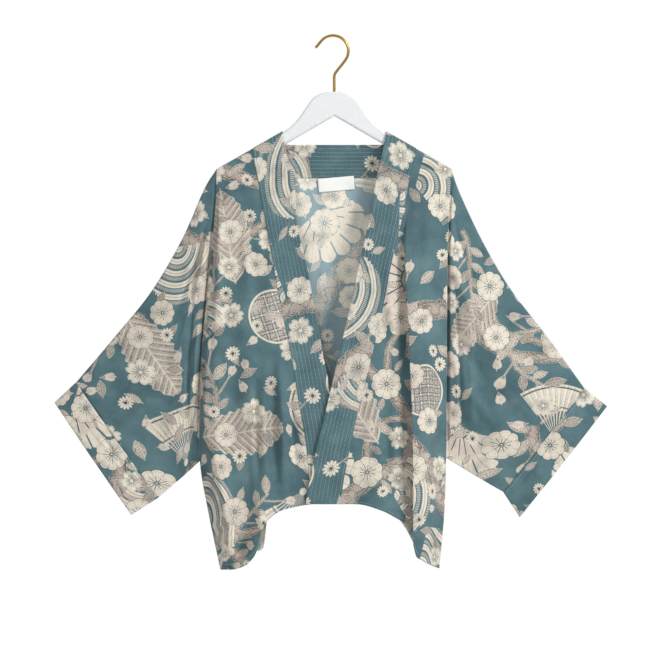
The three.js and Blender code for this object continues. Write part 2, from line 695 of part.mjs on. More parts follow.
const HALF_RING = [
  ...evenly(3).map((t) => t * TURN),
  ...evenly(12).slice(1, -1).map((t) => mix(TURN, 1 - TURN, t)),
  ...evenly(3).map((t) => 1 - TURN + t * TURN),
];
const RING_BACK = HALF_RING.slice(1, -1).toReversed().map((h) => 1 - h / 2);
const RING_US = [...HALF_RING.map((h) => h / 2), ...RING_BACK];

function sleeve(side) {
  const at = (u, v) =>
    tubePoint({
      side,
      rows: SLEEVE[side],
      u,
      v,
      hold: 1 - smooth(v / SLEEVE_HOLD),
      foldScale: smooth(v / FOLDS_BEGIN) * (1 - FOLDS_LOSE * v),
    });
  return wall({ at, us: RING_US, vs: evenly(10), thick: CLOTH, ring: true });
}

function cuff(side) {
  const rows = CUFF[side];
  const from = SEAM_GAP / CUFF_DEPTH;
  const at = (u, v) =>
    tubePoint({ side, rows, u, v: mix(from, 1, v), hold: 0, foldScale: CUFF_FOLDS });
  return wall({ at, us: RING_US, vs: evenly(2), thick: CUFF_WALL, ring: true });
}

function label() {
  const tilt = THREE.MathUtils.degToRad(LABEL.tiltDeg);
  const lift = BAND_WALL / 2 + SEAM_GAP + LABEL_WALL / 2;
  const at = (u, v) => {
    const [a, b] = [(u - 0.5) * LABEL.width, (0.5 - v) * LABEL.height];
    const x = LABEL.x + a * Math.cos(tilt) - b * Math.sin(tilt);
    const z = LABEL.z + a * Math.sin(tilt) + b * Math.cos(tilt);
    return new THREE.Vector3(x, backOut(x, z) - lift, z);
  };
  return wall({ at, us: evenly(4), vs: evenly(2), thick: LABEL_WALL });
}

/** The flat board: a hump under the hook, two sloping arms and a notch between them. */
function board() {
  const armTop = (x) => ARM_START.z - ARM_SLOPE * (x - ARM_START.x);
  const topTip = { x: ARM_TIP_X, z: armTop(ARM_TIP_X) };
  const lowTip = { x: ARM_TIP_X, z: topTip.z - ARM_HEIGHT };
  const lowSlope = (NOTCH - lowTip.z) / ARM_TIP_X;
  const shape = new THREE.Shape();
  const corner = (sign, { through, x, z }) =>
    shape.quadraticCurveTo(sign * ARM_TIP_X, through, sign * x, z);
  const hump = [...HUMP, ARM_START].map(({ x, z }) => new THREE.Vector2(x, z));
  shape.moveTo(-HUMP[0].x, HUMP[0].z);
  shape.lineTo(HUMP[0].x, HUMP[0].z);
  shape.splineThru(hump.slice(1));
  shape.lineTo(ARM_TIP_X - TIP_ROUND, armTop(ARM_TIP_X - TIP_ROUND));
  corner(1, { through: topTip.z, x: ARM_TIP_X, z: topTip.z - TIP_ROUND });
  shape.lineTo(ARM_TIP_X, lowTip.z + TIP_ROUND);
  corner(1, { through: lowTip.z, x: ARM_TIP_X - TIP_ROUND, z: lowTip.z + lowSlope * TIP_ROUND });
  shape.lineTo(0, NOTCH);
  shape.lineTo(-(ARM_TIP_X - TIP_ROUND), lowTip.z + lowSlope * TIP_ROUND);
  corner(-1, { through: lowTip.z, x: ARM_TIP_X, z: lowTip.z + TIP_ROUND });
  shape.lineTo(-ARM_TIP_X, topTip.z - TIP_ROUND);
  corner(-1, { through: topTip.z, x: ARM_TIP_X - TIP_ROUND, z: armTop(ARM_TIP_X - TIP_ROUND) });
  shape.lineTo(-ARM_START.x, ARM_START.z);
  const otherHalf = hump.slice(0, -1).toReversed();
  shape.splineThru(otherHalf.map((p) => new THREE.Vector2(-p.x, p.y)));
  const depth = BOARD - 2 * BOARD_EDGE;
  const geometry = new THREE.ExtrudeGeometry(shape, {
    depth,
    curveSegments: 2,
    bevelThickness: BOARD_EDGE,
    bevelSize: BOARD_EDGE,
    bevelOffset: -BOARD_EDGE,
    bevelSegments: 2,
  });
  return geometry.translate(0, 0, -depth / 2).rotateX(Math.PI / 2);
}

/** The wire hook: a straight tip, the bend round the seat, a slant back and the stem. */
function hook() {
  const centre = { x: 0, z: WIRE / 2 - BEND_RADIUS };
  const onBend = (deg) => {
    const angle = THREE.MathUtils.degToRad(deg);
    return new THREE.Vector3(
      centre.x + BEND_RADIUS * Math.cos(angle),
      0,
      centre.z + BEND_RADIUS * Math.sin(angle),
    );
  };
  const first = onBend(BEND_FROM_DEG);
  const tipWay = new THREE.Vector3(first.z - centre.z, 0, centre.x - first.x)
    .multiplyScalar(-HOOK_TIP / BEND_RADIUS);
  const bend = evenly(12).map((t) => onBend(mix(BEND_FROM_DEG, BEND_TO_DEG, t)));
  const points = [
    first.clone().add(tipWay),
    first.clone().addScaledVector(tipWay, 0.5),
    ...bend,
    bend.at(-1).clone().lerp(new THREE.Vector3(BOARD_MIDDLE, 0, STEM_TOP), 0.5),
    new THREE.Vector3(BOARD_MIDDLE + 1, 0, STEM_TOP + 1),
    new THREE.Vector3(BOARD_MIDDLE, 0, STEM_TOP - 4),
    new THREE.Vector3(BOARD_MIDDLE, 0, mix(STEM_TOP, HUMP[0].z, 0.6)),
    new THREE.Vector3(BOARD_MIDDLE, 0, HUMP[0].z + SEAT_GAP),
  ];
  const section = new THREE.Shape().absarc(0, 0, WIRE / 2, 0, 2 * Math.PI);
  const extrudePath = new THREE.CatmullRomCurve3(points, false, "centripetal");
  return new THREE.ExtrudeGeometry(section, { extrudePath, steps: 44, curveSegments: 5 });
}

// ---- The object -----------------------------------------------------------------------------

const cloth = { color: COLOURS.cloth, roughness: 0.85, metalness: 0 };
const doubled = { color: COLOURS.band, roughness: 0.85, metalness: 0 };
const painted = { color: COLOURS.board, roughness: 0.45, metalness: 0 };
const plated = { color: COLOURS.wire, roughness: 0.25, metalness: 1 };
const tape = { color: COLOURS.label, roughness: 0.8, metalness: 0 };

function piece(name, geometry, look) {
  const mesh = new THREE.Mesh(geometry, new THREE.MeshStandardMaterial(look));
  mesh.name = name;
  return mesh;
}

const onBoard = new THREE.Group();
onBoard.position.x = BOARD_MIDDLE;
onBoard.add(
  piece("hanger_board", board(), painted),
  piece("neckband", neckband(), doubled),
  piece("back", back(), cloth),
  piece("neck_label", label(), tape),
);
for (const side of ["right", "left"]) {
  onBoard.add(
    piece(`front_${side}`, front(side), cloth),
    piece(`sleeve_${side}`, sleeve(side), cloth),
    piece(`cuff_${side}`, cuff(side), doubled),
  );
}

const kimonoOnHanger = new THREE.Group();
kimonoOnHanger.add(piece("hanger_hook", hook(), plated), onBoard);

export default kimonoOnHanger;
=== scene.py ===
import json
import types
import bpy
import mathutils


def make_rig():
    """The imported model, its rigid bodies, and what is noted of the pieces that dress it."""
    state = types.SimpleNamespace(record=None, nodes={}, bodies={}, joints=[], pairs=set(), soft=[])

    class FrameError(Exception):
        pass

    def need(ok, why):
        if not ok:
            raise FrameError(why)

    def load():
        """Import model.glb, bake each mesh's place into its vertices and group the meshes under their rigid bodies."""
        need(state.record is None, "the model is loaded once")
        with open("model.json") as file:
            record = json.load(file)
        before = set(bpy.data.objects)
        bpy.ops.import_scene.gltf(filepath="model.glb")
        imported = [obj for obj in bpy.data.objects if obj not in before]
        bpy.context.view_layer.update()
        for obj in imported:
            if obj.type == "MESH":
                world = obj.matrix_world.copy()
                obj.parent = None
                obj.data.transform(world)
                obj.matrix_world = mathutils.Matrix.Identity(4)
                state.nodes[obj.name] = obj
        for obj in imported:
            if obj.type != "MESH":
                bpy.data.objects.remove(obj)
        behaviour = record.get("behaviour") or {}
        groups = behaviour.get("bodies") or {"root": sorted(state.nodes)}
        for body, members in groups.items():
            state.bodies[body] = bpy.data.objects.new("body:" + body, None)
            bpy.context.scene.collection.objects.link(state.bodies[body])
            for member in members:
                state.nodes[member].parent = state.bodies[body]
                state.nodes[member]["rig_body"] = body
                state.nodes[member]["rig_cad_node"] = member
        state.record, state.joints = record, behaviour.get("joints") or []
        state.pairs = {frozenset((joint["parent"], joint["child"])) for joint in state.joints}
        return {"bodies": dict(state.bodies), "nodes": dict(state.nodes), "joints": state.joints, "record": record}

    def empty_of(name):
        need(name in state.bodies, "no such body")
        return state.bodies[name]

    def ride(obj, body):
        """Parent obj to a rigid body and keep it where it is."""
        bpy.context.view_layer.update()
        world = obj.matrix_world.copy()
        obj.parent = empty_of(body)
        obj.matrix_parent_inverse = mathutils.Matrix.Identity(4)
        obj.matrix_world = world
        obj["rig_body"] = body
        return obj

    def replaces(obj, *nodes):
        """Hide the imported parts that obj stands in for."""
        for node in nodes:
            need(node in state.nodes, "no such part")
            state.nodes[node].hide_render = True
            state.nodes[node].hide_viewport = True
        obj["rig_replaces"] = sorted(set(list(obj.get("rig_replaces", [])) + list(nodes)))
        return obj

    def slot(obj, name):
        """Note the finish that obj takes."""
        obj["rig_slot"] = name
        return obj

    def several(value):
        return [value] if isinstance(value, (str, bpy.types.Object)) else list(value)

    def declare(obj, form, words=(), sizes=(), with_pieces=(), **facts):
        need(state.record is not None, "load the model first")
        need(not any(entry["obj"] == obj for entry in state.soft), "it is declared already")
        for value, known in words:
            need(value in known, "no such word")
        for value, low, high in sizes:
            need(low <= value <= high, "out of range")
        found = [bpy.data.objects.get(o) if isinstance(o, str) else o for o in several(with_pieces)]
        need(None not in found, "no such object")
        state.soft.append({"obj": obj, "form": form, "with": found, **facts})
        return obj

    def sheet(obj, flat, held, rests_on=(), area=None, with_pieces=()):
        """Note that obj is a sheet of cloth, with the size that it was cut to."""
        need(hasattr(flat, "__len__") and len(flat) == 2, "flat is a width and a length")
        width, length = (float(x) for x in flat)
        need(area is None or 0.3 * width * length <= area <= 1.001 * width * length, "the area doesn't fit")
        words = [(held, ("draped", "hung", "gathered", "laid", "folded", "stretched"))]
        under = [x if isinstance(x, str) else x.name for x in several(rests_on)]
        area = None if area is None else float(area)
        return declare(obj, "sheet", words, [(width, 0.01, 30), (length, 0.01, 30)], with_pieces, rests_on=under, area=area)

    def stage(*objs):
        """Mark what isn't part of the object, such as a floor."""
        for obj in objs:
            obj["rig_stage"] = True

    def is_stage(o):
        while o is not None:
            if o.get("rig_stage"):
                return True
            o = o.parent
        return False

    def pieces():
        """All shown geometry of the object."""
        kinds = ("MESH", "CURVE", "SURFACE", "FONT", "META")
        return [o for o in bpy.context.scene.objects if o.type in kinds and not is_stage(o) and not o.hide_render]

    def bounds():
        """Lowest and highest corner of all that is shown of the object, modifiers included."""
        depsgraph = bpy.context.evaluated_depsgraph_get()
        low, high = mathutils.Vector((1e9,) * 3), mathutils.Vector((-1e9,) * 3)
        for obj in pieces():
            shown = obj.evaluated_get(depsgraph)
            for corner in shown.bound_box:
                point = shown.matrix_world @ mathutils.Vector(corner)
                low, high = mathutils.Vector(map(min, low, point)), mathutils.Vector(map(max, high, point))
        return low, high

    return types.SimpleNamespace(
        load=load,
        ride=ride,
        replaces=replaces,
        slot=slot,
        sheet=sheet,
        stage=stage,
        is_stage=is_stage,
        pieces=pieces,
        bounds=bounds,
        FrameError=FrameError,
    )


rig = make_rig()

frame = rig.load()
CAD_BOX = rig.bounds()

import json
import math
from functools import partialmethod, reduce

import bpy
import numpy as np

# A short kimono jacket on a wooden hanger. The CAD solids of the cloth are replaced by thin
# shells on the same forms, with finer folds, a printed pattern and sewing; the hanger's board
# and hook keep their solids. Lengths are millimetres up to the meshes, which are in metres.

MM = 0.001
X, Y, Z = 0, 1, 2


# ---- Numbers ----


def table(columns, *rows):
    """A table with named columns."""
    data = np.array(rows, float)
    return dict(zip(columns.split(), data.T))


def clamp01(t):
    return np.clip(t, 0.0, 1.0)


def mix(a, b, t):
    return a + (b - a) * t


def smooth(t):
    c = clamp01(t)
    return c * c * (3 - 2 * c)


def through(values, i, f):
    """A smooth curve through a column, f of the way from row i to the next."""
    padded = np.concatenate([[2 * values[0] - values[1]], values, [2 * values[-1] - values[-2]]])
    a, b, c, d = (padded[i + k] for k in range(4))
    bend = 2 * a - 5 * b + 4 * c - d + f * (3 * (b - c) + d - a)
    return b + 0.5 * f * (c - a + f * bend)


def along(rows, column, t):
    at = clamp01(np.asarray(t, float)) * (len(rows[column]) - 1)
    i = np.minimum(len(rows[column]) - 2, np.floor(at).astype(int))
    return through(rows[column], i, at - i)


def value_at(rows, key, column, place):
    """The curve's value where the rows' key column, which runs one way, reaches place."""
    keys = rows[key]
    way = np.sign(keys[-1] - keys[0])
    i = np.clip(np.searchsorted(way * keys, way * np.asarray(place, float)) - 1, 0, len(keys) - 2)
    return through(rows[column], i, clamp01((place - keys[i]) / (keys[i + 1] - keys[i])))


def evenly(count, start=0.0, end=1.0):
    return np.linspace(start, end, count + 1)


# ---- The garment's sizes ----

CLOTH = 0.5  # thickness of one layer
BAND_WALL, CUFF_WALL, HEM_WALL = 1.7, 1.1, 1.1
HEM_DEPTH = 8.0  # width of the folded hem
TUCK = 4.0  # how far a panel runs into the neckband
SEAM_HALF = 0.45  # half the way between the two layers at a side seam
PANEL_LENGTH = 660.0  # about, from the ridge of an arm to the hem

BOARD_MIDDLE = 2.0  # the board's middle, from the hook's
BOARD = 12.0  # thickness of the board
BOARD_EDGE = 3.0  # rounding of its edges
ARM_START = (84.0, -154.0)
ARM_SLOPE = 0.57
SHOULDER_X = 188.0
UNDERARM = {"right": -678.0, "left": -673.0}
FRONT_SWELL, BACK_SWELL, SWELL_REACH = 17.0, 11.0, 160.0
ARMHOLE_SWELL = 7.0
LAP = {"right": -3.2, "left": 3.4}  # the left front lies over the right one
LAP_FROM, LAP_TO, LAP_ACROSS = -390.0, -530.0, 170.0

# The edges of the neckband in front, of the body beside the armhole, and the main folds.
BAND = {
    "right": table(
        "z outer inner",
        (-150, 131, 84), (-188, 129, 76), (-224, 122, 64), (-301, 108.5, 59), (-368, 96.5, 43.5),
        (-424, 86, 33), (-510, 68.5, 17.5), (-571, 58.5, 5), (-649, 45, -8.5), (-746, 36.5, -17.5),
    ),
    "left": table(
        "z outer inner",
        (-150, 132, 84), (-188, 130, 76), (-224, 120, 67), (-300, 106, 54), (-368, 90, 38.5),
        (-424, 79.5, 26), (-510, 59.5, 6.5), (-597, 38, -13.5), (-683, 20, -34), (-746, 9, -46),
    ),
}
BAND_HEM = -746.0
BAND_BACK = (
    (129, -203, 84, -167), (117, -217, 79, -171), (96, -223.5, 71, -172),
    (66, -225, 58, -172), (33, -225, 31, -172), (0, -225, 0, -172),
)
NECK_CORNER = 2 / 6

SIDE = {
    "right": table(
        "z x",
        (-200, 188), (-275, 190), (-371, 199), (-475, 209), (-560, 214), (-678, 215),
        (-762, 201), (-852, 182),
    ),
    "left": table(
        "z x",
        (-200, 188), (-275, 183), (-371, 180.5), (-475, 180), (-560, 179.5), (-673, 179),
        (-762, 176), (-850, 168),
    ),
}
CREST = {
    "right": table(
        "z x out",
        (-190, 158, 0), (-330, 150, 3), (-480, 139, 6), (-640, 126, 8), (-790, 116, 9),
        (-852, 120, 9),
    ),
    "left": table(
        "z x out",
        (-190, 137, 0), (-290, 118, 1), (-345, 115.5, 8), (-450, 121, 14), (-634, 128, 17),
        (-790, 129, 17), (-850, 129.5, 15),
    ),
}
CREST_SPREAD = {"right": (34, 30), "left": (4.5, 60)}
CREST_UNDER = {"right": 0.0, "left": 8.0}  # depth of the groove that the main fold turns under
GROOVE_SPREAD = (15.0, 3.5)
FOLD_OVER = 5.0  # how far the main fold of the left front leans over that groove
# The cloth leans out before the crest and back beyond it.
FOLD_LEAN = table("share crest near far", (0.8, -5.5, 14, 4), (-1, 1.5, 4.5, 12))
FOLD_TOP = -295.0  # the main fold starts to turn under here
GROOVE_RUN, LEAN_RUN = 60.0, 80.0  # heights over which the groove and the lean grow
HEM = {
    "right": table(
        "across z",
        (0, -746), (0.12, -749), (0.32, -757), (0.44, -772), (0.5, -789), (0.53, -815),
        (0.57, -830), (0.66, -843), (0.85, -851), (1, -852),
    ),
    "left": table(
        "across z",
        (0, -746), (0.16, -747), (0.3, -758), (0.42, -774), (0.485, -786), (0.505, -806),
        (0.56, -829), (0.72, -840), (1, -850),
    ),
}
BACK_HEM = table(
    "across z", (0, -739), (0.3, -742), (0.52, -757), (0.68, -800), (0.82, -840), (1, -850)
)
# The back's hem dips behind the twisted corner and rises behind the other front's tail.
BACK_HEM_MOVE = {"right": (-34.0, 0.622, 0.03, 0.16), "left": (14.0, 0.72, 0.3, 0.26)}

# Soft folds: the line of each, its spread to smaller and larger x, and how far it stands out.
FOLD_COLUMNS = "top_x top_z foot_x foot_z near far out"
FRONT_FOLDS = {
    "right": table(
        FOLD_COLUMNS,
        (112, -300, 84, -800, 22, 24, 4), (196, -590, 168, -870, 28, 20, 8),
        (172, -240, 186, -640, 26, 18, 4),
    ),
    "left": table(FOLD_COLUMNS, (70, -500, 72, -800, 24, 22, 4), (158, -240, 156, -880, 20, 18, 3)),
}
BACK_FOLDS = table(
    FOLD_COLUMNS,
    (-134, -260, -126, -900, 18, 30, 9), (-60, -330, -70, -800, 26, 24, 5),
    (10, -290, 4, -800, 30, 26, 6), (76, -330, 84, -820, 24, 26, 5),
    (138, -270, 134, -900, 32, 18, 8),
)
FOLD_FADE = 110.0

SLEEVE_COLUMNS = "top_x top_z low_x low_z room"
SLEEVE = {
    "right": table(
        SLEEVE_COLUMNS,
        (188, -211.5, 215, -678, 8), (208.5, -245, 227, -689, 10.5), (244, -325, 240, -701, 12),
        (293, -408, 254, -713, 12), (352, -481, 268, -725, 11), (413, -553, 282, -737, 9),
    ),
    "left": table(
        SLEEVE_COLUMNS,
        (188, -211.5, 179, -673, 8), (202, -252, 196.6, -684, 10.5), (236, -325, 214.8, -695, 12),
        (281, -402, 233.2, -706, 12), (341, -480, 251.8, -717, 11), (400, -562, 271, -728, 9),
    ),
}
CUFF = {
    "right": table(SLEEVE_COLUMNS, (413, -553, 282, -737, 9), (447, -585, 325, -764, 9)),
    "left": table(SLEEVE_COLUMNS, (400, -562, 271, -728, 9), (436, -591, 297, -768, 9)),
}
SLEEVE_FOLDS = {
    "right": table("start end width out", (0.3, 0.42, 0.17, 5), (0.7, 0.78, 0.15, 4)),
    "left": table("start end width out", (0.38, 0.3, 0.18, 4), (0.72, 0.66, 0.16, 5)),
}
TOP_ROUND, LOW_ROUND = 4.0, 1.2  # how round a sleeve is at its upper and lower fold
LABEL = {"x": 3.0, "z": -235.0, "width": 58.0, "height": 22.0, "tilt": math.radians(5)}
LABEL_WALL = 0.5
LABEL_OFF, LABEL_CURL = 1.7, 0.5  # its way from the back, and how far its lower edge curls

CLEAR = 1.6  # between the board and the middle of the cloth over it
ARM_COS = 1 / math.hypot(1, ARM_SLOPE)
OVER_FLAT = BOARD / 2 - BOARD_EDGE
OVER_RADIUS = BOARD_EDGE + CLEAR
OVER_RUN = OVER_FLAT + OVER_RADIUS * math.pi / 2
OVER_DROP = OVER_RADIUS / ARM_COS
ARM_OUT = OVER_FLAT + OVER_RADIUS
OVER_SHARE = 0.02  # share of a panel, from the ridge down, that lies over an arm
UNDERARM_SHARE = 0.74  # share of the rest that lies above the underarm
SIGN = {"right": -1.0, "left": 1.0}


# ---- The shape that the cloth takes ----


def ridge_z(x):
    return ARM_START[1] - ARM_SLOPE * (np.abs(x) - ARM_START[0]) + CLEAR / ARM_COS


def over_arm(run):
    """How far out and down cloth lies after a run from the ridge of an arm."""
    angle = np.clip((run - OVER_FLAT) / OVER_RADIUS, 0, math.pi / 2)
    out = np.where(run < OVER_FLAT, run, OVER_FLAT + OVER_RADIUS * np.sin(angle))
    return out, np.where(run < OVER_FLAT, 0.0, OVER_DROP * (1 - np.cos(angle)))


def side_x(side, z):
    return value_at(SIDE[side], "z", "x", z)


def crest_x(side, z):
    return value_at(CREST[side], "z", "x", z)


def band_x(side, edge, z):
    return value_at(BAND[side], "z", edge, z)


def ridge_across(x, crest, near, far):
    """1 on a crest, falling to 0 at near before it and far beyond it."""
    away = x - crest
    return 1 - smooth(np.abs(away) / np.where(away < 0, near, far))


def soft_folds(folds, x, z):
    total = 0.0
    for top_x, top_z, foot_x, foot_z, near, far, out in zip(*folds.values()):
        crest = mix(top_x, foot_x, (z - top_z) / (foot_z - top_z))
        total = total + out * ridge_across(x, crest, near, far) * smooth((top_z - z) / FOLD_FADE)
    return total


def creases(rows, x, z):
    """Narrow troughs (negative depth) and ridges along short lines, softest at their ends."""
    total = 0.0
    for x1, z1, x2, z2, width, depth in zip(*rows.values()):
        length2 = (x2 - x1) ** 2 + (z2 - z1) ** 2
        t = ((x - x1) * (x2 - x1) + (z - z1) * (z2 - z1)) / length2
        away = np.hypot(x - mix(x1, x2, t), z - mix(z1, z2, t))
        total = total + depth * np.exp(-((away / width) ** 2)) * smooth(t * 2.5) * smooth((1 - t) * 2.5)
    return total


def swing(x, z):
    return 1 - np.exp(-np.maximum(0, ridge_z(x) - z) / SWELL_REACH)


def side_out(side, z, arm_out):
    c = clamp01((ridge_z(SHOULDER_X) - z) / (ridge_z(SHOULDER_X) - UNDERARM[side]))
    return arm_out * (1 - c * c) + ARMHOLE_SWELL * np.sin(np.pi * c) + SEAM_HALF * c * c


def inside_side(side, x, z):
    return side_x(side, z) - np.abs(x)


def ripples(x, z):
    """Slight unevenness of hanging crepe, longest down the cloth."""
    drift = 1.5 * np.sin(z / 92) + 0.8 * np.sin(z / 41 + x / 60)
    slow = np.sin(x / 15 + drift) * (0.6 + 0.4 * np.sin(z / 120 + x / 70))
    quick = np.sin(x / 7.3 - drift + z / 150) * np.sin(z / 66 + x / 31)
    return 0.95 * slow + 0.42 * quick + 0.3 * np.sin(z / 17 + x / 23) * np.sin(x / 11 - z / 47)


CREASE_COLUMNS = "x1 z1 x2 z2 width depth"
FRONT_CREASES = {
    "right": table(
        CREASE_COLUMNS,
        (128, -186, 178, -212, 5, 1.6), (126, -194, 174, -223, 4, -2.6),
        (140, -206, 186, -256, 6, 1.4),
        (176, -235, 184, -300, 5, -1.8), (120, -230, 100, -420, 9, -1.6),
        (150, -260, 128, -470, 8, 1.5), (96, -480, 74, -700, 8, 1.8),
        (112, -520, 96, -730, 7, -1.8), (140, -560, 132, -780, 8, -2.0),
        (206, -640, 150, -790, 9, 2.4), (208, -680, 170, -800, 6, -2.2),
        (196, -470, 160, -600, 9, -1.6), (60, -600, 52, -740, 7, -1.4),
        (120, -740, 112, -800, 6, 3.0), (127, -520, 121, -740, 6, -4.5),
        (112, -500, 106, -760, 7, 3.5), (97, -480, 92, -750, 7, -5.0), (82, -520, 80, -740, 6, 3.0),
        (70, -560, 60, -730, 5, -3.0), (205, -250, 196, -470, 7, -3.6), (186, -330, 190, -560, 8, 3.0),
        (183, -222, 187, -420, 7, 3.4),
    ),
    "left": table(
        CREASE_COLUMNS,
        (135, -190, 178, -214, 5, 1.4), (126, -200, 186, -226, 4, -2.4),
        (142, -208, 186, -262, 6, 1.2),
        (122, -240, 112, -330, 7, -1.8), (150, -250, 140, -430, 9, 1.4),
        (166, -300, 160, -520, 8, -1.3), (92, -420, 88, -600, 7, -1.6),
        (60, -560, 46, -730, 8, 1.7), (84, -600, 84, -750, 7, -2.0),
        (150, -560, 146, -800, 9, -1.5), (172, -640, 150, -760, 8, 1.5),
        (104, -262, 104, -400, 8, -1.4), (106, -350, 113, -640, 9, -1.8),
        (112, -540, 118, -800, 9, -1.8), (84, -330, 92, -520, 9, 3.0), (92, -520, 98, -740, 9, 2.5),
    ),
}
# The twisted corner of the right front: ridges that run into it, and the hollows between them.
CORNER_CREASES = table(
    CREASE_COLUMNS,
    (212, -830, 134, -778, 7, 8.0), (190, -862, 160, -792, 5, 8.0),
    (180, -866, 128, -790, 8, -15.0), (206, -806, 156, -768, 6, -5.0), (198, -850, 176, -812, 4, -6.0),
    (156, -860, 120, -816, 5, 4.0),
)
CREASE_GAIN = 1.7
BACK_CREASES = table(
    CREASE_COLUMNS,
    (-150, -215, -60, -250, 8, 1.4), (150, -215, 70, -252, 8, 1.3),
    (-100, -300, -96, -560, 9, -1.6), (-30, -330, -36, -700, 10, 1.8),
    (40, -300, 46, -640, 9, -1.7), (104, -320, 108, -700, 9, 1.6),
    (-166, -360, -150, -640, 9, 1.6), (164, -380, 150, -700, 9, -1.6),
    (-180, -640, -120, -760, 8, -2.0), (168, -640, 110, -770, 8, 2.0),
)
FRONT_FADE, BACK_FADE = 25.0, 30.0  # how far below the ridge the creases are full
RIPPLE_SHIFT = {"right": 0, "left": 300, "back": 500}
# How far in from its side seam a front turns to it, at the top and at the hem.
SIDE_REACH = {"right": (9, 30), "left": (34, 34)}
REACH_TURN, REACH_RUN = -600.0, 120.0  # where it starts to change, and over what height
BACK_REACH = 40.0
CORNER_LEAST = 1.2  # how far the hollows of the twisted corner stay out


def front_out(side, x, z, arm_out=ARM_OUT):
    """How far a front stands out at x, measured outwards on its own side, and z."""
    near, far = CREST_SPREAD[side]
    crest = crest_x(side, z)
    under = CREST_UNDER[side] * smooth((FOLD_TOP - z) / GROOVE_RUN)
    under = under * ridge_across(x, crest - near, *GROOVE_SPREAD)
    main = value_at(CREST[side], "z", "out", z) * ridge_across(x, crest, near, far) - under
    lap = LAP[side] * smooth((LAP_FROM - z) / (LAP_FROM - LAP_TO)) * (1 - smooth(x / LAP_ACROSS))
    fine = CREASE_GAIN * creases(FRONT_CREASES[side], x, z)
    fine = (fine + ripples(x, z + RIPPLE_SHIFT[side])) * smooth((ridge_z(x) - z) / FRONT_FADE)
    free = arm_out + FRONT_SWELL * swing(x, z) + lap + main + fine
    free = free + soft_folds(FRONT_FOLDS[side], x, z)
    reach = mix(*SIDE_REACH[side], smooth((REACH_TURN - z) / REACH_RUN))
    inside = inside_side(side, x, z)
    out = mix(free, side_out(side, z, arm_out), 1 - smooth(inside / reach))
    if side == "right":
        twist = creases(CORNER_CREASES, x, z) * smooth(inside / 4)
        out = np.maximum(out + twist, np.minimum(out, CORNER_LEAST))
    return out


def back_out(x, z, arm_out=ARM_OUT):
    """How far the back stands out at x and z, both in the board's frame."""
    fine = CREASE_GAIN * creases(BACK_CREASES, x, z) + ripples(x + RIPPLE_SHIFT["back"], z)
    fine = fine * smooth((ridge_z(x) - z) / BACK_FADE)
    free = arm_out + BACK_SWELL * swing(x, z) + soft_folds(BACK_FOLDS, x, z) + fine
    left, right = (
        mix(free, side_out(side, z, arm_out), 1 - smooth(inside_side(side, x, z) / BACK_REACH))
        for side in ("left", "right")
    )
    return np.where(x > 0, left, right)


def height_at(side, top_z, hem_z, t):
    above = mix(top_z, UNDERARM[side], t / UNDERARM_SHARE)
    below = mix(UNDERARM[side], hem_z, (t - UNDERARM_SHARE) / (1 - UNDERARM_SHARE))
    return np.where(t < UNDERARM_SHARE, above, below)


def foot_of_arm(x_at, like):
    """The height at which a line x_at(z) leaves the arm."""
    z = np.full_like(like, ARM_START[1])
    for _ in range(12):
        z = ridge_z(x_at(z)) - OVER_DROP
    return z


def below_arm(v):
    """v from 0 where a panel leaves the arm to 1 at its hem."""
    return clamp01((v - OVER_SHARE) / (1 - OVER_SHARE))


def panel_point(side, x_at, hem_z, v):
    """Points of a front over an arm or below it on the lines x_at(z), from the ridge to hem_z."""
    foot_z = foot_of_arm(x_at, v)
    over = v < OVER_SHARE
    out, down = over_arm(OVER_RUN * clamp01(v / OVER_SHARE))
    x_over = x_at(foot_z)
    z_below = height_at(side, foot_z, hem_z, below_arm(v))
    x = np.where(over, x_over, x_at(z_below))
    z = np.where(over, ridge_z(x_over) - down, z_below)
    return np.stack([SIGN[side] * x, -front_out(side, x, z, np.where(over, out, ARM_OUT)), z], -1)


def front_at(side):
    def x_at(u, z):
        seam = band_x(side, "outer", z) - TUCK
        crest = crest_x(side, z)
        return np.where(u < 0.5, mix(seam, crest, 2 * u), mix(crest, side_x(side, z), 2 * u - 1))

    def at(u, v):
        hem_z = value_at(HEM[side], "across", "z", u)
        points = panel_point(side, lambda z: x_at(u, z), hem_z, v)
        if side == "left":
            z = points[..., Z]
            away = points[..., X] - crest_x(side, z)
            lean = sum(
                share * ridge_across(away, *place) for share, *place in zip(*FOLD_LEAN.values())
            )
            points[..., X] += FOLD_OVER * lean * smooth((FOLD_TOP - z) / LEAN_RUN)
        return points

    return at


def back_run(side):
    """The neckband's edges behind the neck, from the foot of an arm to mid back."""
    feet = []
    for edge in ("outer", "inner"):
        x_at = lambda z, edge=edge: band_x(side, edge, z)
        z = foot_of_arm(x_at, np.zeros(1))
        feet += [x_at(z)[0], z[0]]
    return table("outer_x outer_z inner_x inner_z", feet, *BAND_BACK)


BACK_RUN = {side: back_run(side) for side in SIGN}
CORNER_ACROSS = 0.64  # share of the back's width that hangs from the band's lower edge
STRIP_SHARE = 0.07  # share of its height that lies beside the band's turn
STRAIGHTEN = 2.2  # how soon its columns run straight below the band


def neck_seam(side, t):
    """A place on the back's seam, tucked into the neckband."""
    run = BACK_RUN[side]
    ox, oz, ix, iz = (along(run, c, t) for c in ("outer_x", "outer_z", "inner_x", "inner_z"))
    stretch = 1 - TUCK / np.hypot(ox - ix, oz - iz)
    return mix(ix, ox, stretch), mix(iz, oz, stretch)


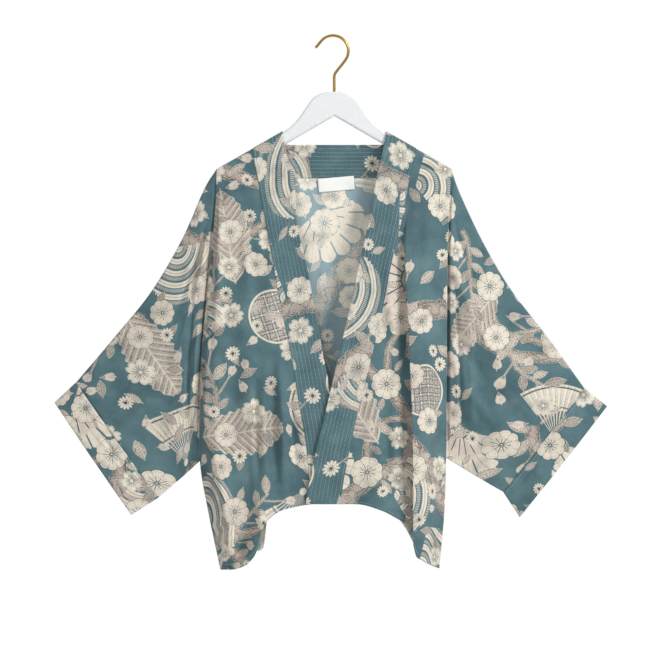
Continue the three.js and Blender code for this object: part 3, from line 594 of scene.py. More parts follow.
def back_half(side, across, v):
    """Points of one half of the back."""
    edge_at = lambda z: side_x(side, z)
    side_hem = BACK_HEM["z"][-1]
    foot_z = foot_of_arm(edge_at, v)
    t = below_arm(v)
    edge_z = height_at(side, foot_z, side_hem, t)
    edge_x = edge_at(edge_z)
    top_edge_z = height_at(side, foot_z, side_hem, np.full_like(v, STRIP_SHARE))
    top_edge_x = edge_at(top_edge_z)
    outwards = clamp01((across - CORNER_ACROSS) / (1 - CORNER_ACROSS))
    # Over the arm.
    out, down = over_arm(OVER_RUN * clamp01(v / OVER_SHARE))
    over_x = mix(neck_seam(side, np.zeros_like(v))[0], edge_at(foot_z), outwards)
    over_z = ridge_z(over_x) - down
    # The strip beside the neckband's turn.
    seam_x, seam_z = neck_seam(side, np.minimum(t / STRIP_SHARE, 1) * NECK_CORNER)
    strip_x, strip_z = mix(seam_x, edge_x, outwards), mix(seam_z, edge_z, outwards)
    # Below it.
    corner_x, corner_z = neck_seam(side, np.full_like(v, NECK_CORNER))
    inner_x, inner_z = neck_seam(side, mix(1, NECK_CORNER, clamp01(across / CORNER_ACROSS)))
    in_neck = across < CORNER_ACROSS
    top_x = np.where(in_neck, inner_x, mix(corner_x, top_edge_x, outwards))
    top_z = np.where(in_neck, inner_z, mix(corner_z, top_edge_z, outwards))
    below = clamp01((t - STRIP_SHARE) / (1 - STRIP_SHARE))
    low_x = mix(top_x * edge_x / top_edge_x, edge_x * across, smooth(below * STRAIGHTEN))
    fall = (edge_z - top_edge_z) / (side_hem - top_edge_z)
    move, *place = BACK_HEM_MOVE[side]
    hem_z = value_at(BACK_HEM, "across", "z", across) + move * ridge_across(across, *place)
    low_z = mix(top_z, hem_z, fall)
    over, strip = v < OVER_SHARE, t < STRIP_SHARE
    x = SIGN[side] * np.where(over, over_x, np.where(strip, strip_x, low_x))
    z = np.where(over, over_z, np.where(strip, strip_z, low_z))
    return np.stack([x, back_out(x, z, np.where(over, out, ARM_OUT)), z], -1)


def back_at(u, v):
    across = np.abs(2 * u - 1)
    left = (u > 0.5)[..., None]
    return np.where(left, back_half("left", across, v), back_half("right", across, v))


BAND_AT_ARM, BAND_AT_RIDGE = 0.2, 0.22  # shares of half the band, from mid back


def band_half(side, u, p):
    """Points of one half of the neckband: p runs from mid back (0) to a hem (1)."""
    run = BACK_RUN[side]
    t = 1 - clamp01(p / BAND_AT_ARM)
    back_x = SIGN[side] * mix(along(run, "inner_x", t), along(run, "outer_x", t), u)
    back_z = mix(along(run, "inner_z", t), along(run, "outer_z", t), u)
    arm_x = mix(run["inner_x"][0], run["outer_x"][0], u)
    share = clamp01((BAND_AT_RIDGE - p) / (BAND_AT_RIDGE - BAND_AT_ARM))
    out, down = over_arm(OVER_RUN * share)
    on_back = p < BAND_AT_ARM
    x = np.where(on_back, back_x, SIGN[side] * arm_x)
    z = np.where(on_back, back_z, ridge_z(arm_x) - down)
    behind = np.stack([x, back_out(x, z, np.where(on_back, ARM_OUT, out)), z], -1)
    before = panel_point(
        side,
        lambda z: mix(band_x(side, "inner", z), band_x(side, "outer", z), u),
        BAND_HEM,
        clamp01((p - BAND_AT_RIDGE) / (1 - BAND_AT_RIDGE)),
    )
    return np.where((p < BAND_AT_RIDGE)[..., None], behind, before)


def band_at(u, v):
    p = np.abs(2 * v - 1)
    left = (v >= 0.5)[..., None]
    return np.where(left, band_half("left", u, p), band_half("right", u, p))


TURN = 0.03  # share of a half ring that turns the corner at either end


def half_ring(h, depth, top_round, low_round):
    """A tube's section, h from its upper fold (0) to its lower one: how low, and how open."""
    top = np.clip(h / TURN, 0, 1) * math.pi / 2
    low = np.clip((1 - h) / TURN, 0, 1) * math.pi / 2
    middle = mix(top_round, depth - low_round, clamp01((h - TURN) / (1 - 2 * TURN)))
    run = np.where(h < TURN, top_round * (1 - np.cos(top)), middle)
    run = np.where(h > 1 - TURN, depth - low_round * (1 - np.cos(low)), run)
    return run / depth, np.sin(top) * np.sin(low)


SLEEVE_CREASES = {
    # Across the sleeve: c from the upper fold, v from the armhole.
    "right": table(
        "c1 v1 c2 v2 width depth",
        (0.1, 0.27, 0.95, 0.36, 0.035, -3.6), (0.1, 0.15, 0.95, 0.22, 0.05, 2.2),
        (0.1, 0.02, 0.3, 0.55, 0.03, -1.5), (0.22, 0.0, 0.5, 0.6, 0.035, 1.8),
        (0.9, 0.1, 0.62, 0.62, 0.03, -2.4), (0.98, 0.3, 0.7, 0.8, 0.035, 1.8),
        (0.45, 0.0, 0.62, 0.7, 0.04, -1.8), (0.62, 0.05, 0.8, 0.8, 0.035, 1.6),
        (0.8, 0.0, 0.9, 0.5, 0.03, -1.6), (0.3, 0.5, 0.36, 1.0, 0.03, 1.2),
    ),
    "left": table(
        "c1 v1 c2 v2 width depth",
        (0.3, 0.14, 0.95, 0.3, 0.035, -2.6), (0.25, 0.3, 0.9, 0.42, 0.05, 1.8),
        (0.12, 0.02, 0.26, 0.5, 0.03, -1.4), (0.3, 0.0, 0.4, 0.7, 0.035, 1.8),
        (0.95, 0.15, 0.7, 0.7, 0.03, -2.0),
        (0.5, 0.0, 0.55, 0.6, 0.04, -1.7), (0.66, 0.05, 0.7, 0.8, 0.035, 1.7),
        (0.84, 0.0, 0.8, 0.55, 0.03, -1.5), (0.5, 0.55, 0.46, 1.0, 0.03, 1.1),
    ),
}
CREASE_EDGE = 12  # creases fade within one twelfth of a sleeve's depth of its folds
REAR_SHARE = -0.8  # depth of the creases of a sleeve's back, against its front's
SEAM_SINK = 9.5  # how far a sleeve sinks behind the body's edge beside the armhole
SINK_AT, SINK_SPREAD = 0.024, 0.026
SLEEVE_LEAST = 0.9


def tube_at(side, rows, hold_at, scale_at, crease_scale=1.0):
    """A sleeve or cuff: hold_at says how far the armhole shapes it, scale_at its folds."""
    columns = SLEEVE_COLUMNS.split()
    first_top_x, first_top_z, first_low_x, first_low_z = (SLEEVE[side][c][0] for c in columns[:4])

    def at(u, v):
        top_x, top_z, low_x, low_z, room = (along(rows, c, v) for c in columns)
        hold, scale = hold_at(v), scale_at(v)
        front = u < 0.5
        h = np.where(front, 2 * u, 2 * (1 - u))
        top_round, low_round = mix(TOP_ROUND, ARM_OUT, hold), mix(LOW_ROUND, SEAM_HALF + 0.2, hold)
        c, opened = half_ring(h, np.hypot(top_x - low_x, top_z - low_z), top_round, low_round)
        armhole = side_x(side, mix(first_top_z, first_low_z, c))
        z = mix(top_z, low_z, c)
        x = mix(top_x, low_x, c) + hold * (armhole - mix(first_top_x, first_low_x, c))
        swell = mix(room, ARMHOLE_SWELL, hold) * np.sin(np.pi * c)
        folds = 0.0
        for start, end, width, out in zip(*SLEEVE_FOLDS[side].values()):
            folds = folds + out * ridge_across(c, mix(start, end, v), width, width)
        fine = CREASE_GAIN * creases(SLEEVE_CREASES[side], c, v)
        fine = fine + ripples(z * 0.9 + 60 * v, x * 1.3 + 200 * front)
        fine = fine * smooth(v * 8) * crease_scale
        fine = np.where(front, fine, REAR_SHARE * fine)
        fine = fine * smooth(c * CREASE_EDGE) * smooth((1 - c) * CREASE_EDGE)
        out = top_round * (1 - c * c) + low_round * c * c + swell + scale * folds + fine
        sink = hold * SEAM_SINK * np.exp(-(((v - SINK_AT) / SINK_SPREAD) ** 2)) * np.sin(np.pi * c)
        out = np.maximum(out - sink, np.minimum(out, SLEEVE_LEAST))
        return np.stack([SIGN[side] * x, np.where(front, -1, 1) * opened * out, z], -1)

    return at


def label_at(u, v):
    a, b = (u - 0.5) * LABEL["width"], (0.5 - v) * LABEL["height"]
    cos, sin = math.cos(LABEL["tilt"]), math.sin(LABEL["tilt"])
    x, z = LABEL["x"] + a * cos - b * sin, LABEL["z"] + a * sin + b * cos
    return np.stack([x, back_out(x, z) - LABEL_OFF + LABEL_CURL * np.cos(u * 9) * v, z], -1)


# ---- Shells ----

STEP = 3.0  # size of a face
RIGHT_SIDE, WRONG_SIDE = 0, 1  # material slots of a cloth piece


def grid_normals(points, ring):
    """Unit normals of a grid of points (rows along v, columns along u)."""
    if ring:
        du = np.roll(points, -1, 1) - np.roll(points, 1, 1)
    else:
        du = np.gradient(points, axis=1)
    n = np.cross(du, np.gradient(points, axis=0))
    return n / np.maximum(np.linalg.norm(n, axis=-1, keepdims=True), 1e-9)


def softened(normals, ring, times=2):
    for _ in range(times):
        pad = ((0, 0), (1, 1), (0, 0))
        wide = np.pad(normals, pad, mode="wrap" if ring else "edge")
        normals = wide[:, :-2] + 2 * wide[:, 1:-1] + wide[:, 2:]
        tall = np.pad(normals, ((1, 1), (0, 0), (0, 0)), mode="edge")
        normals = tall[:-2] + 2 * tall[1:-1] + tall[2:]
        normals = normals / np.maximum(np.linalg.norm(normals, axis=-1, keepdims=True), 1e-9)
    return normals


def make_mesh(name, points, quads, slots, materials, flat=None):
    """A mesh object from points in millimetres; flat holds each corner's place in the cut."""
    mesh = bpy.data.meshes.new(name)
    mesh.vertices.add(len(points))
    mesh.vertices.foreach_set("co", (points * MM).astype(np.float32).ravel())
    mesh.loops.add(quads.size)
    mesh.loops.foreach_set("vertex_index", quads.astype(np.int32).ravel())
    mesh.polygons.add(len(quads))
    mesh.polygons.foreach_set("loop_start", np.arange(0, quads.size, 4, dtype=np.int32))
    mesh.polygons.foreach_set("material_index", slots.astype(np.int32))
    mesh.polygons.foreach_set("use_smooth", np.ones(len(quads), bool))
    for material in materials:
        mesh.materials.append(material)
    mesh.update(calc_edges=True)
    mesh.validate()
    if flat is not None:
        layer = mesh.uv_layers.new(name="Cut")
        layer.data.foreach_set("uv", (flat * MM).astype(np.float32).ravel())
    thing = bpy.data.objects.new(name, mesh)
    bpy.context.scene.collection.objects.link(thing)
    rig.ride(thing, "root")
    return thing


def shell(name, points, flat, thick, materials, outwards, ring=False, missing=None, layout=None):
    """A closed cloth shell round a grid of middle points.

    points and flat are grids, rows along v; outwards says per point which way the right side
    faces; missing marks the cells that are left out; layout prints motifs on it.
    """
    points = points + np.array([BOARD_MIDDLE, 0, 0])
    rows, columns = points.shape[:2]
    normals = softened(grid_normals(points, ring), ring)
    if np.sum(normals * outwards) < 0:
        normals = -normals
    half = np.broadcast_to(np.asarray(thick, float) / 2, (rows, columns))[..., None]
    front = points + normals * half
    rear = points - normals * half
    spans = columns if ring else columns - 1
    j, i = np.meshgrid(np.arange(rows - 1), np.arange(spans), indexing="ij")
    has = np.ones((rows - 1, spans), bool) if missing is None else ~missing
    n = (i + 1) % columns
    corner = lambda a, b: b * columns + a
    cells = np.stack([corner(i, j), corner(n, j), corner(n, j + 1), corner(i, j + 1)], -1)[has]
    corner_flat = [flat[j, i], flat[j, n], flat[j + 1, n], flat[j + 1, i]]
    if ring:
        # The underarm seam parts the front's places in the cut from the back's.
        seam = columns // 2
        for k in (0, 3):
            corner_flat[k][:, seam, 0] *= -1
    cell_flat = np.stack(corner_flat, -2)[has]
    # Which way round a cell runs to face outwards.
    a, b, d = (points.reshape(-1, 3)[cells[:, k]] for k in (0, 1, 3))
    outside = np.sum(np.cross(b - a, d - a) * normals.reshape(-1, 3)[cells[:, 0]])
    way = slice(None) if outside > 0 else slice(None, None, -1)
    count = rows * columns
    outer, inner = cells[:, way], cells[:, ::-1][:, way] + count
    outer_flat, inner_flat = cell_flat[:, way], cell_flat[:, ::-1][:, way]
    # Rims: each border edge of the outer layer, run backwards.
    starts, ends = outer.ravel(), np.roll(outer, -1, 1).ravel()
    key, back_key = starts * count + ends, ends * count + starts
    border = ~np.isin(key, back_key)
    s, e = starts[border], ends[border]
    rim = np.stack([e, s, s + count, e + count], -1)
    fs = outer_flat.reshape(-1, 2)[border]
    fe = np.roll(outer_flat, -1, 1).reshape(-1, 2)[border]
    rim_flat = np.stack([fe, fs, fs, fe], 1)
    quads = np.concatenate([outer, inner, rim])
    flats = np.concatenate([outer_flat, inner_flat, rim_flat])
    slots = np.concatenate([
        np.full(len(outer), RIGHT_SIDE), np.full(len(inner), WRONG_SIDE), np.full(len(rim), RIGHT_SIDE)
    ])
    used = np.unique(quads)
    renumber = np.zeros(2 * count, int)
    renumber[used] = np.arange(len(used))
    every = np.concatenate([front.reshape(-1, 3), rear.reshape(-1, 3)])[used]
    thing = make_mesh(name, every, renumber[quads], slots, materials, flats)
    if layout is not None:
        layout(thing.data, flats)
    return thing


def summed(steps, axis):
    """Running totals of steps, from 0."""
    total = np.cumsum(steps, axis=axis)
    return np.concatenate([np.zeros_like(np.take(total, [0], axis=axis)), total], axis=axis)


def run_lengths(points, axis):
    """Length along a grid of points from its first row or column."""
    return summed(np.linalg.norm(np.diff(points, axis=axis), axis=-1), axis)


# ---- The print ----

# A made-up print of blossoms, leaves, fans and roundels on wandering twigs, which repeats every
# TILE both ways. Each mesh corner carries its place inside the motif that covers its face, so
# the shader draws every motif as sharp as it is close.

TILE = 620.0
ROUND_BLOSSOM, PETAL_BLOSSOM, BUD, DAISY = 1, 2, 3, 4
LARGE_LEAF, ROUNDEL, FAN, HALF_MUM, WAVE = 1, 2, 3, 4, 5
SMALL_LEAF = 1
random = np.random.default_rng(21)


def wrapped(d):
    return (d + TILE / 2) % TILE - TILE / 2


def towards(angle):
    return np.array([math.cos(angle), math.sin(angle)])


def fits(place, size, taken, gap=1.5, share=1.0):
    """Whether a stamp clears those taken, each of which counts with a share of its size."""
    return all(
        np.hypot(*wrapped(np.array(place) - np.array(t[:2]))) > size + share * t[3] + gap
        for t in taken
    )


def coded(kind):
    """A motif's kind, with a random fraction that varies its looks."""
    return kind + 0.1 + 0.8 * random.random()


def turned(place, size, kind):
    """A stamp that is turned anyhow."""
    return (*place, random.uniform(0, 2 * math.pi), size, coded(kind))


def some_blossom(sizes, chances):
    pick = random.choice(4, p=chances)
    return (ROUND_BLOSSOM, PETAL_BLOSSOM, BUD, DAISY)[pick], sizes[pick]


def walk(start, heading, steps, width, end_width, turn=0.16, step=12.0):
    """A wandering line: places, headings and half widths."""
    place, rows, bend = np.array(start, float), [], 0.0
    for k in range(steps):
        bend = 0.75 * bend + random.normal(0, turn)
        heading += bend * 0.6
        rows.append((place.copy(), heading, mix(width, end_width, k / max(1, steps - 1))))
        place = place + step * towards(heading)
    return rows


def large_forms():
    """Large motifs on a loose lattice."""
    lattice = [(c, r) for r in range(4) for c in range(4)]
    random.shuffle(lattice)
    kinds = [HALF_MUM, LARGE_LEAF, WAVE, HALF_MUM, ROUNDEL, LARGE_LEAF, FAN, WAVE]
    sizes = {ROUNDEL: 46, LARGE_LEAF: 74, FAN: 62, HALF_MUM: 68, WAVE: 62}
    large = []
    for (c, r), kind in zip(lattice, kinds * 2):
        place = (np.array([c + 0.5 * (r % 2), r]) + random.uniform(-0.16, 0.16, 2)) * TILE / 4
        size = sizes[kind] * random.uniform(0.85, 1.1)
        if fits(place, size * 0.8, large, 0, 0.75):
            large.append(turned(place, size, kind))
    return large


def boughs():
    """Wide boughs behind the rest, with two branches each."""
    ribbons = []
    for place, heading in (((60, 30), 0.9), ((380, 90), 2.3), ((250, 420), 0.35)):
        bough = walk(place, heading, 34, 17.0, 4.0, 0.1, 14.0)
        ribbons.append(bough)
        for at, aside, steps, width, end in ((12, 0.7, 16, 9.0, 2.0), (20, -0.8, 14, 7.0, 1.6)):
            ribbons.append(walk(bough[at][0], bough[at][1] + aside, steps, width, end, 0.14))
    return ribbons


def grow_twig(start, leaves, blossoms, ribbons):
    """A twig with leaves on both sides, and blossoms at the ends of its side twigs."""
    heading = random.choice([0.35, 0.8, 1.3, 2.2]) + random.normal(0, 0.25)
    thick = random.choice([7.5, 5.0, 11.0])
    stem = walk(start, heading, random.integers(11, 17), thick, 1.6)
    ribbons.append(stem)
    side = 1
    for k, (place, way, width) in enumerate(stem[1:]):
        side = -side
        if k % 4 == 2:
            twig = walk(place, way + side * 0.8, random.integers(3, 6), 1.5, 0.8, 0.1)
            ribbons.append(twig)
            end, end_way, _ = twig[-1]
            kind, size = some_blossom((22, 20, 10, 13), (0.4, 0.25, 0.2, 0.15))
            size *= random.uniform(0.88, 1.15)
            at = end + (6 + 0.6 * size) * towards(end_way)
            if fits(at, size, blossoms):
                blossoms.append((*at, end_way, size, coded(kind)))
        else:
            size = random.uniform(11, 17)
            aim = way + side * random.uniform(0.6, 1.0)
            at = place + (width + size) * towards(aim)
            if fits(at, size * 0.62, leaves, 0, 0.62):
                leaves.append((*at, aim, size, coded(SMALL_LEAF)))


MOST_BLOSSOMS, MOST_LEAVES = 118, 190


def print_plan():
    """Stamps (x, y, angle, size, code) of three layers and the ribbons of the twigs."""
    large, leaves, blossoms, ribbons = large_forms(), [], [], boughs()
    for row in range(4):
        for column in range(3):
            start = np.array([column, row + 0.4 * column]) + random.uniform(-0.2, 0.2, 2)
            grow_twig(start * [TILE / 3, TILE / 4], leaves, blossoms, ribbons)
    # Clusters of blossoms, then loose leaves, fill the wide gaps.
    for _ in range(900):
        place = random.uniform(0, TILE, 2)
        kind, size = some_blossom((23, 21, 9, 12), (0.42, 0.22, 0.2, 0.16))
        size *= random.uniform(0.85, 1.12)
        gap = 1.0 if random.random() < 0.4 else 16.0
        if len(blossoms) < MOST_BLOSSOMS and fits(place, size, blossoms, gap):
            blossoms.append(turned(place, size, kind))
    for _ in range(500):
        place, size = random.uniform(0, TILE, 2), random.uniform(10, 16)
        if len(leaves) < MOST_LEAVES and fits(place, size * 0.9, leaves, 4, 0.9):
            leaves.append(turned(place, size, SMALL_LEAF))
    return large, leaves, blossoms, ribbons


LARGE, LEAVES, BLOSSOMS, RIBBONS = print_plan()


def stamped(flats, stamps, reach=1.08):
    """Each corner's place inside the stamp that covers its face, and the stamp's code."""
    centre = flats.mean(1)
    best = np.full(len(flats), np.inf)
    local = np.zeros((*flats.shape[:2], 3), np.float32)
    local[..., 2] = -1
    for x, y, angle, size, code in stamps:
        d = wrapped(centre - [x, y])
        score = np.hypot(d[:, 0], d[:, 1]) / size
        idx = np.nonzero((score < reach + 2.2 / size) & (score < best))[0]
        best[idx] = score[idx]
        rel = flats[idx] - (centre[idx] - d[idx])[:, None]
        c, s = math.cos(angle), math.sin(angle)
        local[idx, :, 0] = (rel[..., 0] * c + rel[..., 1] * s) / size
        local[idx, :, 1] = (rel[..., 1] * c - rel[..., 0] * s) / size
        local[idx, :, 2] = code
    return local


def ribboned(flats, walks):
    """Each corner's place along (in cm) and across (in half widths) the twig on its face."""
    centre = flats.mean(1)
    best = np.full(len(flats), np.inf)
    local = np.zeros((*flats.shape[:2], 3), np.float32)
    local[..., 1] = 9
    for walked in walks:
        run = 0.0
        for (p, _, w0), (q, _, w1) in zip(walked[:-1], walked[1:]):
            length = np.hypot(*(q - p))
            way = (q - p) / length
            d = wrapped(centre - (p + q) / 2)
            a = d @ way
            across = d[:, 1] * way[0] - d[:, 0] * way[1]
            score = np.abs(across) / max(w0, w1) + np.maximum(0, np.abs(a) - length / 2) / 3
            near = (np.abs(a) < length / 2 + 4) & (np.abs(across) < max(w0, w1) + 4)
            idx = np.nonzero(near & (score < best))[0]
            best[idx] = score[idx]
            rel = flats[idx] - (centre[idx] - d[idx])[:, None]
            along_run = rel @ way + length / 2
            side = rel[..., 1] * way[0] - rel[..., 0] * way[1]
            width = mix(w0, w1, clamp01(along_run / length))
            local[idx, :, 0] = (run + along_run) / 10
            local[idx, :, 1] = side / width
            local[idx, :, 2] = width
            run += length
    return local


def printed(offset, turn=0.0):
    """A function that lays the print on a mesh, from a place in the cloth's repeat."""
    c, s = math.cos(turn), math.sin(turn)

    def lay(mesh, flats):
        placed = flats @ np.array([[c, s], [-s, c]]) + np.array(offset)
        for name, values in (
            ("twig", ribboned(placed, RIBBONS)),
            ("large", stamped(placed, LARGE, 1.02)),
            ("leaf", stamped(placed, LEAVES, 1.0)),
            ("blossom", stamped(placed, BLOSSOMS)),
        ):
            data = mesh.attributes.new(name, "FLOAT_VECTOR", "CORNER").data
            data.foreach_set("vector", values.astype(np.float32).ravel())

    return lay


# ---- Node trees ----


def linear(r, g, b):
    """An sRGB colour of 0 to 255 as the linear values that a shader takes."""
    def part(v):
        v /= 255
        return v / 12.92 if v <= 0.04045 else ((v + 0.055) / 1.055) ** 2.4
    return (part(r), part(g), part(b), 1.0)


class Num:
    """A number in a node tree. Arithmetic on it adds math nodes."""

    def __init__(self, tree, socket):
        self.tree, self.socket = tree, socket

    def put(self, slot, value):
        """A value, which may be a Num, on a node's input."""
        if isinstance(value, Num):
            self.tree.links.new(value.socket, slot)
        else:
            slot.default_value = value

    def math(self, operation, *others):
        node = self.tree.nodes.new("ShaderNodeMath")
        node.operation = operation
        for slot, value in zip(node.inputs, (self, *others)):
            self.put(slot, value)
        return Num(self.tree, node.outputs[0])

    __add__ = __radd__ = partialmethod(math, "ADD")
    __mul__ = __rmul__ = partialmethod(math, "MULTIPLY")
    __sub__ = partialmethod(math, "SUBTRACT")
    __truediv__ = partialmethod(math, "DIVIDE")
    __pow__ = partialmethod(math, "POWER")
    __abs__ = partialmethod(math, "ABSOLUTE")
    sin = partialmethod(math, "SINE")
    cos = partialmethod(math, "COSINE")
    sqrt = partialmethod(math, "SQRT")
    fract = partialmethod(math, "FRACT")
    floor = partialmethod(math, "FLOOR")
    most = partialmethod(math, "MAXIMUM")
    angle_to = partialmethod(math, "ARCTAN2")

    def __rsub__(self, other):
        return self * -1.0 + other

    def __rtruediv__(self, other):
        return (self ** -1.0) * other

    def ramp(self, low, high):
        """0 at low to 1 at high, smoothly."""
        node = self.tree.nodes.new("ShaderNodeMapRange")
        node.interpolation_type = "SMOOTHSTEP"
        for name, value in (("Value", self), ("From Min", low), ("From Max", high)):
            self.put(node.inputs[name], value)
        return Num(self.tree, node.outputs["Result"])


    def below(self, edge, soft=0.02):
        """1 below edge, 0 above it."""
        return 1 - (self - edge).ramp(-soft, soft)

    def near(self, place, half, soft=0.015):
        """1 within half of place."""
        return abs(self - place).below(half, soft)


def attribute(tree, name):
    """The three numbers of a mesh attribute."""
    node = tree.nodes.new("ShaderNodeAttribute")
    node.attribute_name = name
    parts = tree.nodes.new("ShaderNodeSeparateXYZ")
    tree.links.new(node.outputs["Vector"], parts.inputs[0])
    return [Num(tree, parts.outputs[k]) for k in range(3)]


def cut_place(tree):
    node = tree.nodes.new("ShaderNodeUVMap")
    node.uv_map = "Cut"
    return node.outputs[0]


def noise(tree, vector, scale, detail=2.0):
    node = tree.nodes.new("ShaderNodeTexNoise")
    node.inputs["Scale"].default_value = scale
    node.inputs["Detail"].default_value = detail
    tree.links.new(vector, node.inputs["Vector"])
    return Num(tree, node.outputs["Fac"])


def dots(tree, vector, spacing):
    """Distance from the nearest of many scattered dots, in units of their spacing."""
    node = tree.nodes.new("ShaderNodeTexVoronoi")
    node.voronoi_dimensions = "2D"
    node.inputs["Scale"].default_value = 1 / spacing
    tree.links.new(vector, node.inputs["Vector"])
    return Num(tree, node.outputs["Distance"])


def painted(tree, under, colour, mask):
    """Colour laid over a colour socket where the mask is 1."""
    node = tree.nodes.new("ShaderNodeMix")
    node.data_type = "RGBA"
    tree.links.new(mask.socket, node.inputs["Factor"])
    for slot, value in ((node.inputs[6], under), (node.inputs[7], colour)):
        if isinstance(value, tuple):
            slot.default_value = value
        else:
            tree.links.new(value, slot)
    return node.outputs[2]


def polar(x, y):
    return (x * x + y * y).sqrt(), y.angle_to(x)


def lens(x, power):
    """Half width of a form that runs from x = -1 to 1 and is pointed at both."""
    return (1 - x * x).most(0.0) ** power


def motif(tree, layer):
    """The place in a layer's motif, its kind and its own number from 0 to 1."""
    x, y, code = attribute(tree, layer)
    return x, y, code.floor(), code.fract()


def shows(kind, wanted):
    """1 where a motif is of the kind that is wanted."""
    return kind.near(wanted, 0.5, 0.01)


TEAL, DEEP_TEAL = linear(82, 113, 118), linear(48, 74, 83)
CREAM, BLUSH = linear(221, 212, 195), linear(209, 196, 182)
TAUPE, BROWN = linear(181, 168, 155), linear(70, 65, 66)
PALE_LINE, INK = linear(222, 216, 198), linear(52, 74, 82)


class Canvas:
    """A colour in a node tree that one layer of the print after another is laid on."""

    def __init__(self, tree):
        self.tree, self.cut = tree, cut_place(tree)
        self.dots = dots(tree, self.cut, 0.0021)
        cloud = noise(tree, self.cut, 9.0)
        self.colour = painted(tree, TEAL, DEEP_TEAL, cloud.ramp(0.35, 0.75) * 0.5)

    def lay(self, colour, mask):
        self.colour = painted(self.tree, self.colour, colour, mask)

    def stipple(self, mask, density, dot=BROWN):
        self.lay(dot, mask * self.dots.below(density * 0.48, 0.06) * 0.85)


# Each drawing function lays one kind of motif on the canvas, where on is 1. Its sizes are
# shares of the motif's own: x and y run from -1 to 1, r and a are the same place as a radius
# and an angle. A motif's parts are laid from its ground to its finest lines.


def draw_twigs(canvas):
    """Stippled bark, darkest along the edges, with a pale outline."""
    run, across, width = attribute(canvas.tree, "twig")
    wobble = noise(canvas.tree, canvas.cut, 90.0, 1.0) - 0.5
    off = abs(across) + wobble * 0.5
    bark = off.below(1.0, 0.06)
    canvas.lay(PALE_LINE, off.below(1.0 + 0.55 / width.most(1.0), 0.08) * 0.55)
    canvas.lay(TAUPE, bark)
    canvas.stipple(bark, off.ramp(0.1, 1.1) + 0.25)
    knots = ((run * 2.1 + wobble * 4).sin() * 0.5 + across).near(0.0, 0.10, 0.06)
    canvas.lay(BROWN, knots * bark * width.ramp(3.0, 5.0) * 0.55)


def draw_large_leaf(canvas, x, y, on):
    """A broad blade with a wavy edge and slanting veins."""
    half = lens(x, 0.75) * 0.46 * ((x * 34).sin() * 0.07 + 1)
    off = abs(y) - half
    blade = off.below(0.0, 0.012) * on
    slant = ((x - abs(y) * 0.9) * 6.5).fract()
    veins = slant.near(0.5, 0.07, 0.04).most(abs(y).below(0.016))
    canvas.lay(PALE_LINE, off.near(0.0, 0.012) * on * 0.9)
    canvas.lay(TAUPE, blade * 0.92)
    canvas.lay(CREAM, blade * veins * 0.85)
    shade = slant.ramp(0.5, 1.0) * 0.7 + (abs(y) / half.most(0.01)) * 0.3
    canvas.stipple(blade * (1 - veins), shade)


def draw_roundel(canvas, x, y, seed, on):
    """A disc of overlapping rings, with a heart in each."""
    r, _ = polar(x, y)
    face = r.below(0.95, 0.01) * on
    u, v = (x * 3.2).fract(), (y * 3.2).fract()
    corners = [polar(u - du, v - dv)[0] for du in (0, 1) for dv in (0, 1)]
    rings = reduce(Num.most, [away.near(0.7071, 0.045, 0.03) for away in corners])
    hearts = polar(u - 0.5, v - 0.5)[0].below(0.12, 0.03)
    canvas.lay(BLUSH, face * 0.8)
    canvas.stipple(face, seed * 0.2 + 0.45)
    canvas.lay(DEEP_TEAL, face * rings * 0.85)
    canvas.lay(CREAM, face * hearts)
    canvas.lay(CREAM, r.near(0.94, 0.035) * on)
    canvas.lay(BROWN, r.near(0.885, 0.012) * on * 0.7)


def draw_fan(canvas, x, y, on):
    """A folding fan: sticks from a pivot, and a pleated leaf between two dark lines."""
    r, a = polar(x + 0.84, y)
    spread = abs(a).below(0.68, 0.012) * on
    pleat = (a * 9).fract()
    leaf = spread * r.near(1.09, 0.33, 0.01)
    canvas.lay(BLUSH, spread * pleat.near(0.5, 0.2, 0.05) * r.near(0.4, 0.37, 0.012))
    canvas.lay(CREAM, leaf)
    canvas.lay(TAUPE, leaf * pleat.ramp(0.5, 1.0) * 0.8)
    canvas.stipple(leaf * r.below(1.12, 0.08), pleat * 0.7)
    canvas.lay(INK, leaf * r.near(1.34, 0.018).most(r.near(0.84, 0.014)))
    canvas.lay(INK, leaf * pleat.near(0.5, 0.03, 0.02) * 0.6)
    canvas.lay(CREAM, r.below(0.09, 0.02) * on)


def draw_half_mum(canvas, x, y, on):
    """Half a chrysanthemum: two rings of long petals round a stippled heart."""
    r, a = polar(x + 0.42, y)
    r = r / 1.38
    spread = abs(a).below(1.45, 0.012) * on
    petal, between = abs((a * 8.5).cos()), abs((a * 8.5).sin())
    outer = (r - (petal ** 0.6) * 0.14).below(0.84, 0.012) * spread * r.ramp(0.5, 0.51)
    full = 1 - (petal * r).below(0.13, 0.06)
    canvas.lay(CREAM, outer * full)
    canvas.lay(TAUPE, outer * full * (between * r).below(0.07, 0.05) * 0.8)
    inner = (r - (between ** 0.6) * 0.1).below(0.52, 0.012) * spread
    canvas.lay(BLUSH, inner)
    canvas.lay(INK, inner * (between * r).below(0.09, 0.05) * r.ramp(0.2, 0.22))
    canvas.stipple(inner * full, 0.62 - r)
    heart = r.below(0.2, 0.012) * spread
    canvas.lay(CREAM, heart)
    canvas.stipple(heart, 0.9, INK)
    canvas.lay(INK, r.near(0.2, 0.012) * spread)


